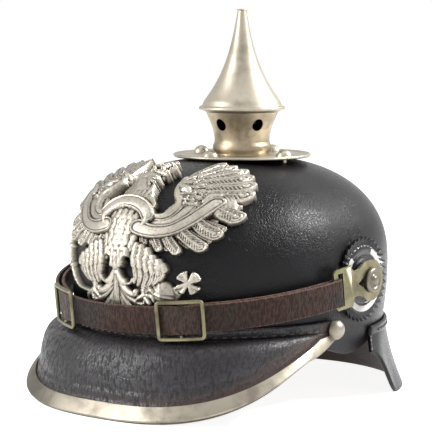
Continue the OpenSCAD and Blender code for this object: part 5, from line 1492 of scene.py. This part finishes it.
def build_buckles():
    t = math.radians(BUCKLE_TURN)
    curve = ((MID_A * math.cos(t)) ** 2 + (MID_B * math.sin(t)) ** 2) ** 1.5 / (MID_A * MID_B)
    middle = strap_point(BUCKLE_TURN) - strap_out(BUCKLE_TURN) * curve
    way = math.atan2(strap_out(BUCKLE_TURN)[0], -strap_out(BUCKLE_TURN)[1])
    wire_off = LAYER + STRAP_T / 2 + 0.4 + WIRE_D / 2
    bar_off = LAYER - STRAP_T / 2 - 0.3 - WIRE_D / 2
    half_w, half_h, corner = (BUCKLE_W - WIRE_D) / 2, (BUCKLE_H - WIRE_D) / 2, 1.6
    half_a = half_w / (curve + wire_off)

    def spot(a, off, z):
        r = curve + off
        x, y = r * math.sin(a), -r * math.cos(a)
        c, s = math.cos(way), math.sin(way)
        return middle[0] + x * c - y * s, middle[1] + x * s + y * c, z

    corner_a = half_a * corner / half_w
    quarters = ((1, 1), (-1, 1), (-1, -1), (1, -1))
    loop = []
    for k, (sa, sz) in enumerate(quarters):
        for c, s in map(cos_sin, range(90 * k, 90 * k + 91, 15)):
            loop.append((sa * (half_a - corner_a) + corner_a * c, sz * (half_h - corner) + corner * s))
        # the straight bit to the next corner
        a, z = loop[-1]
        goal_a, goal_z = a, z
        next_a, next_z = quarters[(k + 1) % 4]
        if next_z == sz:
            goal_a = next_a * (half_a - corner_a)
        else:
            goal_z = next_z * (half_h - corner)
        loop += [(a + (goal_a - a) * f, z + (goal_z - z) * f) for f in np.linspace(0.1, 0.9, 9)]
    bar = [(bar_off + (wire_off - bar_off) * share, half_h - down) for down, share in (
        (0, 1), (0.8, 0.93), (1.5, 0.6), (1.9, 0.25), (2.5, 0.02), (4, 0))]
    bar = bar + [(bar_off, z) for z in (3, 0, -3)] + [(off, -z) for off, z in bar[::-1]]
    cover_a = (half_w - WIRE_D / 2 - 0.4) / (curve + wire_off)
    for side, flip in SIDES:
        def place(points, flip=flip):
            return strap_plane(points) * [flip, 1, 1]
        bm = bmesh.new()
        tube(bm, [spot(a, wire_off, z) for a, z in loop], round_box(WIRE_D - 0.3, WIRE_D - 0.3, 0.75),
             closed=True, up=np.subtract(spot(0, 10, 0), spot(0, 0, 0)) / 10, place=place)
        tube(bm, [spot(0, off, z) for off, z in bar], round_box(2, 2, 0.9, 3), up=(1, 0, 0),
             place=place)
        finish_mesh(side + "_buckle_frame", bm, side + "_buckle", "old_brass", [side + "_buckle"],
                    sharp=60)
        # the strap bulges over the hidden bar, inside the frame
        line = []
        for k in np.linspace(-1, 1, 31):
            rise = 0.95 * (1 - k ** 4) + 0.25 * math.cos(k * math.pi / 2)
            line.append(spot(k * cover_a, LAYER + STRAP_T / 2 - 0.35 + rise * 0.8, 0))
        section = round_box(1.1, STRAP_W + 0.3, 0.4)
        bm = bmesh.new()
        tube(bm, line, section, place=place, tone=cut_edge(section, 0.4, 0.7))
        finish_mesh(side + "_buckle_leather", bm, side + "_buckle", "strap_leather", sharp=70)


# CAD nodes that stay, with their looks

KEPT = {
    "rear_spine_stud": "white_metal", "trim_end_studs": "trim_metal", "base_plate_studs": "white_metal",
    "stud_washers": "liner_leather", "neck_socket": "inside_shade_metal", "spike_spigot": "inside_shade_metal",
    "eagle_loops": "brass", "eagle_wedges": "liner_leather", "post_collars": "white_metal",
    "post_washers": "white_metal", "post_nuts": "brass", "left_lug": "old_brass",
    "right_lug": "old_brass", "sweatband": "liner_leather", "drawstring": "cotton",
}


def dress_nodes():
    for name, look in KEPT.items():
        obj = frame["nodes"][name]
        obj.data.materials.clear()
        obj.data.materials.append(material(look))
        if obj.material_slots:
            obj.material_slots[0].material = material(look)


# Stage: floor, world, lights and camera

CAMERA_AT = (0.6157, -0.80746, 0.19221)
CAMERA_RIGHT = Vector((0.79864, 0.60165, 0.01423)).normalized()
CAMERA_LOOK = Vector((-0.59758, 0.79560, -0.09962)).normalized()
CAMERA_LENS, CAMERA_SHIFT = 146.92, (-0.0604, 0.0392)
FLOOR_HALF = 6


def seen_rays(tree):
    """One for the rays that show the background: straight to the camera, in metal or through glass."""
    path = node(tree, "ShaderNodeLightPath").outputs
    return maths(tree, "MAXIMUM", path["Is Camera Ray"],
                 maths(tree, "MAXIMUM", path["Is Glossy Ray"], path["Is Transmission Ray"]))


def build_stage(light):
    bm = bmesh.new()
    bmesh.ops.create_grid(bm, x_segments=1, y_segments=1, size=FLOOR_HALF)
    mesh = bpy.data.meshes.new("floor")
    bm.to_mesh(mesh)
    bm.free()
    floor = add_object("floor", mesh)
    mat = bpy.data.materials.new("floor_white")
    mat.use_nodes = True
    tree = mat.node_tree
    tree.nodes.clear()
    diffuse = node(tree, "ShaderNodeBsdfDiffuse", {"Color": rgb(0.8, 0.8, 0.8)})
    seen = seen_rays(tree)
    glow = node(tree, "ShaderNodeEmission", {"Color": rgb(1, 1, 1),
                                             "Strength": ramp(tree, seen, 0.0, 1.0, 0.1, 0.9)})
    both = node(tree, "ShaderNodeAddShader", {0: diffuse.outputs[0], 1: glow.outputs[0]})
    node(tree, "ShaderNodeOutputMaterial", {0: both.outputs[0]})
    mesh.materials.append(mat)

    world = bpy.data.worlds.new("studio")
    bpy.context.scene.world = world
    world.use_nodes = True
    tree = world.node_tree
    tree.nodes.clear()
    seen = seen_rays(tree)
    way = node(tree, "ShaderNodeSeparateXYZ", {0: coords(tree, "Generated")})
    room = ramp(tree, way.outputs[2], -0.1, 0.9, 0.07, 0.3)
    strength = node(tree, "ShaderNodeMix", {0: seen, 2: room, 3: 1.0}, data_type="FLOAT").outputs[0]
    back = node(tree, "ShaderNodeBackground", {"Color": rgb(1, 1, 1), "Strength": strength})
    node(tree, "ShaderNodeOutputWorld", {0: back.outputs[0]})

    for name, at, aim, size, power in (
            ("key", (-0.6, -0.96, 0.86), (0, -0.03, 0.09), (0.5, 0.45), light.key_power),
            ("back_right", (0.66, 0.66, 0.86), (0.04, 0, 0.1), (0.3, 0.3), light.back_power),
            ("front_low", (-0.64, -1.1, 0.36), (0, -0.1, 0.03), (0.24, 0.26), light.low_power),
            ("right_strip", (1.25, -0.35, 0.4), (0.05, 0, 0.08), (0.3, 0.7), light.side_power),
            ("top", (0.05, -0.1, 1.5), (0, 0, 0.1), (0.9, 0.9), light.top_power)):
        lamp = bpy.data.lights.new(name, "AREA")
        lamp.shape = "RECTANGLE"
        lamp.size, lamp.size_y = size
        lamp.energy = power
        obj = add_object(name, lamp)
        obj.location = at
        obj.rotation_euler = (Vector(aim) - Vector(at)).to_track_quat("-Z", "Y").to_euler()

    camera = bpy.data.cameras.new("camera")
    camera.sensor_width = 36
    camera.lens = CAMERA_LENS
    camera.shift_x, camera.shift_y = CAMERA_SHIFT
    camera.clip_start, camera.clip_end = 0.05, 50
    obj = add_object("camera", camera)
    up = CAMERA_RIGHT.cross(CAMERA_LOOK)
    turn = Matrix((CAMERA_RIGHT, up, -CAMERA_LOOK)).transposed()
    obj.matrix_world = Matrix.Translation(Vector(CAMERA_AT)) @ turn.to_4x4()
    bpy.context.scene.camera = obj
    bpy.context.scene.view_settings.view_transform = "Standard"


class HELMET_OT_stage(bpy.types.Operator):
    """Lay the floor and set up the light, the world and the camera"""
    bl_idname = "helmet.stage"
    bl_label = "Stage"

    def execute(self, context):
        build_stage(context.scene.helmet_stage)
        return {"FINISHED"}


class HELMET_OT_skull(bpy.types.Operator):
    """Form the leather skull with its ear flaps"""
    bl_idname = "helmet.skull"
    bl_label = "Skull"

    def execute(self, context):
        build_skull()
        return {"FINISHED"}


class HELMET_OT_visors(bpy.types.Operator):
    """Form the front visor with its metal edge, and the neck guard"""
    bl_idname = "helmet.visors"
    bl_label = "Visor and neck guard"

    def execute(self, context):
        build_front_visor()
        build_trim()
        build_rear_visor()
        return {"FINISHED"}


class HELMET_OT_stitches(bpy.types.Operator):
    """Sew both visors to the skull"""
    bl_idname = "helmet.stitches"
    bl_label = "Stitches"

    def execute(self, context):
        build_stitches()
        return {"FINISHED"}


class HELMET_OT_top_fittings(bpy.types.Operator):
    """Turn the base plate, the neck and the spike, and bend the strip down the back"""
    bl_idname = "helmet.top_fittings"
    bl_label = "Plate, neck, spike and spine"

    def execute(self, context):
        build_base_plate()
        build_neck()
        build_spike()
        build_spine()
        return {"FINISHED"}


class HELMET_OT_cockades(bpy.types.Operator):
    """Fold the toothed cockades and turn the posts that hold them"""
    bl_idname = "helmet.cockades"
    bl_label = "Cockades and posts"

    def execute(self, context):
        build_cockades()
        build_posts()
        return {"FINISHED"}


class HELMET_OT_strap(bpy.types.Operator):
    """Cut the chin strap and bend its two wire buckles"""
    bl_idname = "helmet.strap"
    bl_label = "Chin strap and buckles"

    def execute(self, context):
        build_strap()
        build_buckles()
        return {"FINISHED"}


class HELMET_OT_eagle(bpy.types.Operator):
    """Emboss the eagle plate"""
    bl_idname = "helmet.eagle"
    bl_label = "Eagle plate"

    def execute(self, context):
        build_eagle()
        return {"FINISHED"}


class HELMET_OT_kept_nodes(bpy.types.Operator):
    """Give the CAD pieces that stay their materials"""
    bl_idname = "helmet.kept_nodes"
    bl_label = "Small fittings"

    def execute(self, context):
        dress_nodes()
        return {"FINISHED"}


OPERATORS = (HELMET_OT_stage, HELMET_OT_skull, HELMET_OT_visors, HELMET_OT_stitches,
             HELMET_OT_top_fittings, HELMET_OT_cockades, HELMET_OT_strap, HELMET_OT_eagle,
             HELMET_OT_kept_nodes)
GROUPS_OF_SETTINGS = {"helmet_colours": HelmetColours, "helmet_sizes": HelmetSizes,
                      "helmet_stage": HelmetStage}


class HELMET_PT_panel(bpy.types.Panel):
    """Buttons for the helmet's pieces, and their colours and sizes"""
    bl_idname = "HELMET_PT_panel"
    bl_label = "Dress helmet"
    bl_space_type = "VIEW_3D"
    bl_region_type = "UI"
    bl_category = "Helmet"

    def draw(self, context):
        for name, group_class in GROUPS_OF_SETTINGS.items():
            box = self.layout.box()
            for key in group_class.__annotations__:
                box.prop(getattr(context.scene, name), key)
        for operator in OPERATORS:
            self.layout.operator(operator.bl_idname)


CLASSES = (*GROUPS_OF_SETTINGS.values(), *OPERATORS, HELMET_PT_panel)


def register():
    for cls in CLASSES:
        bpy.utils.register_class(cls)
    for name, group_class in GROUPS_OF_SETTINGS.items():
        setattr(bpy.types.Scene, name, bpy.props.PointerProperty(type=group_class))


def unregister():
    for name in GROUPS_OF_SETTINGS:
        delattr(bpy.types.Scene, name)
    for cls in reversed(CLASSES):
        bpy.utils.unregister_class(cls)


def main():
    register()
    for name in ("stage", "skull", "visors", "stitches", "top_fittings", "cockades", "strap", "eagle",
                 "kept_nodes"):
        getattr(bpy.ops.helmet, name)()


if __name__ == "__main__":
    main()
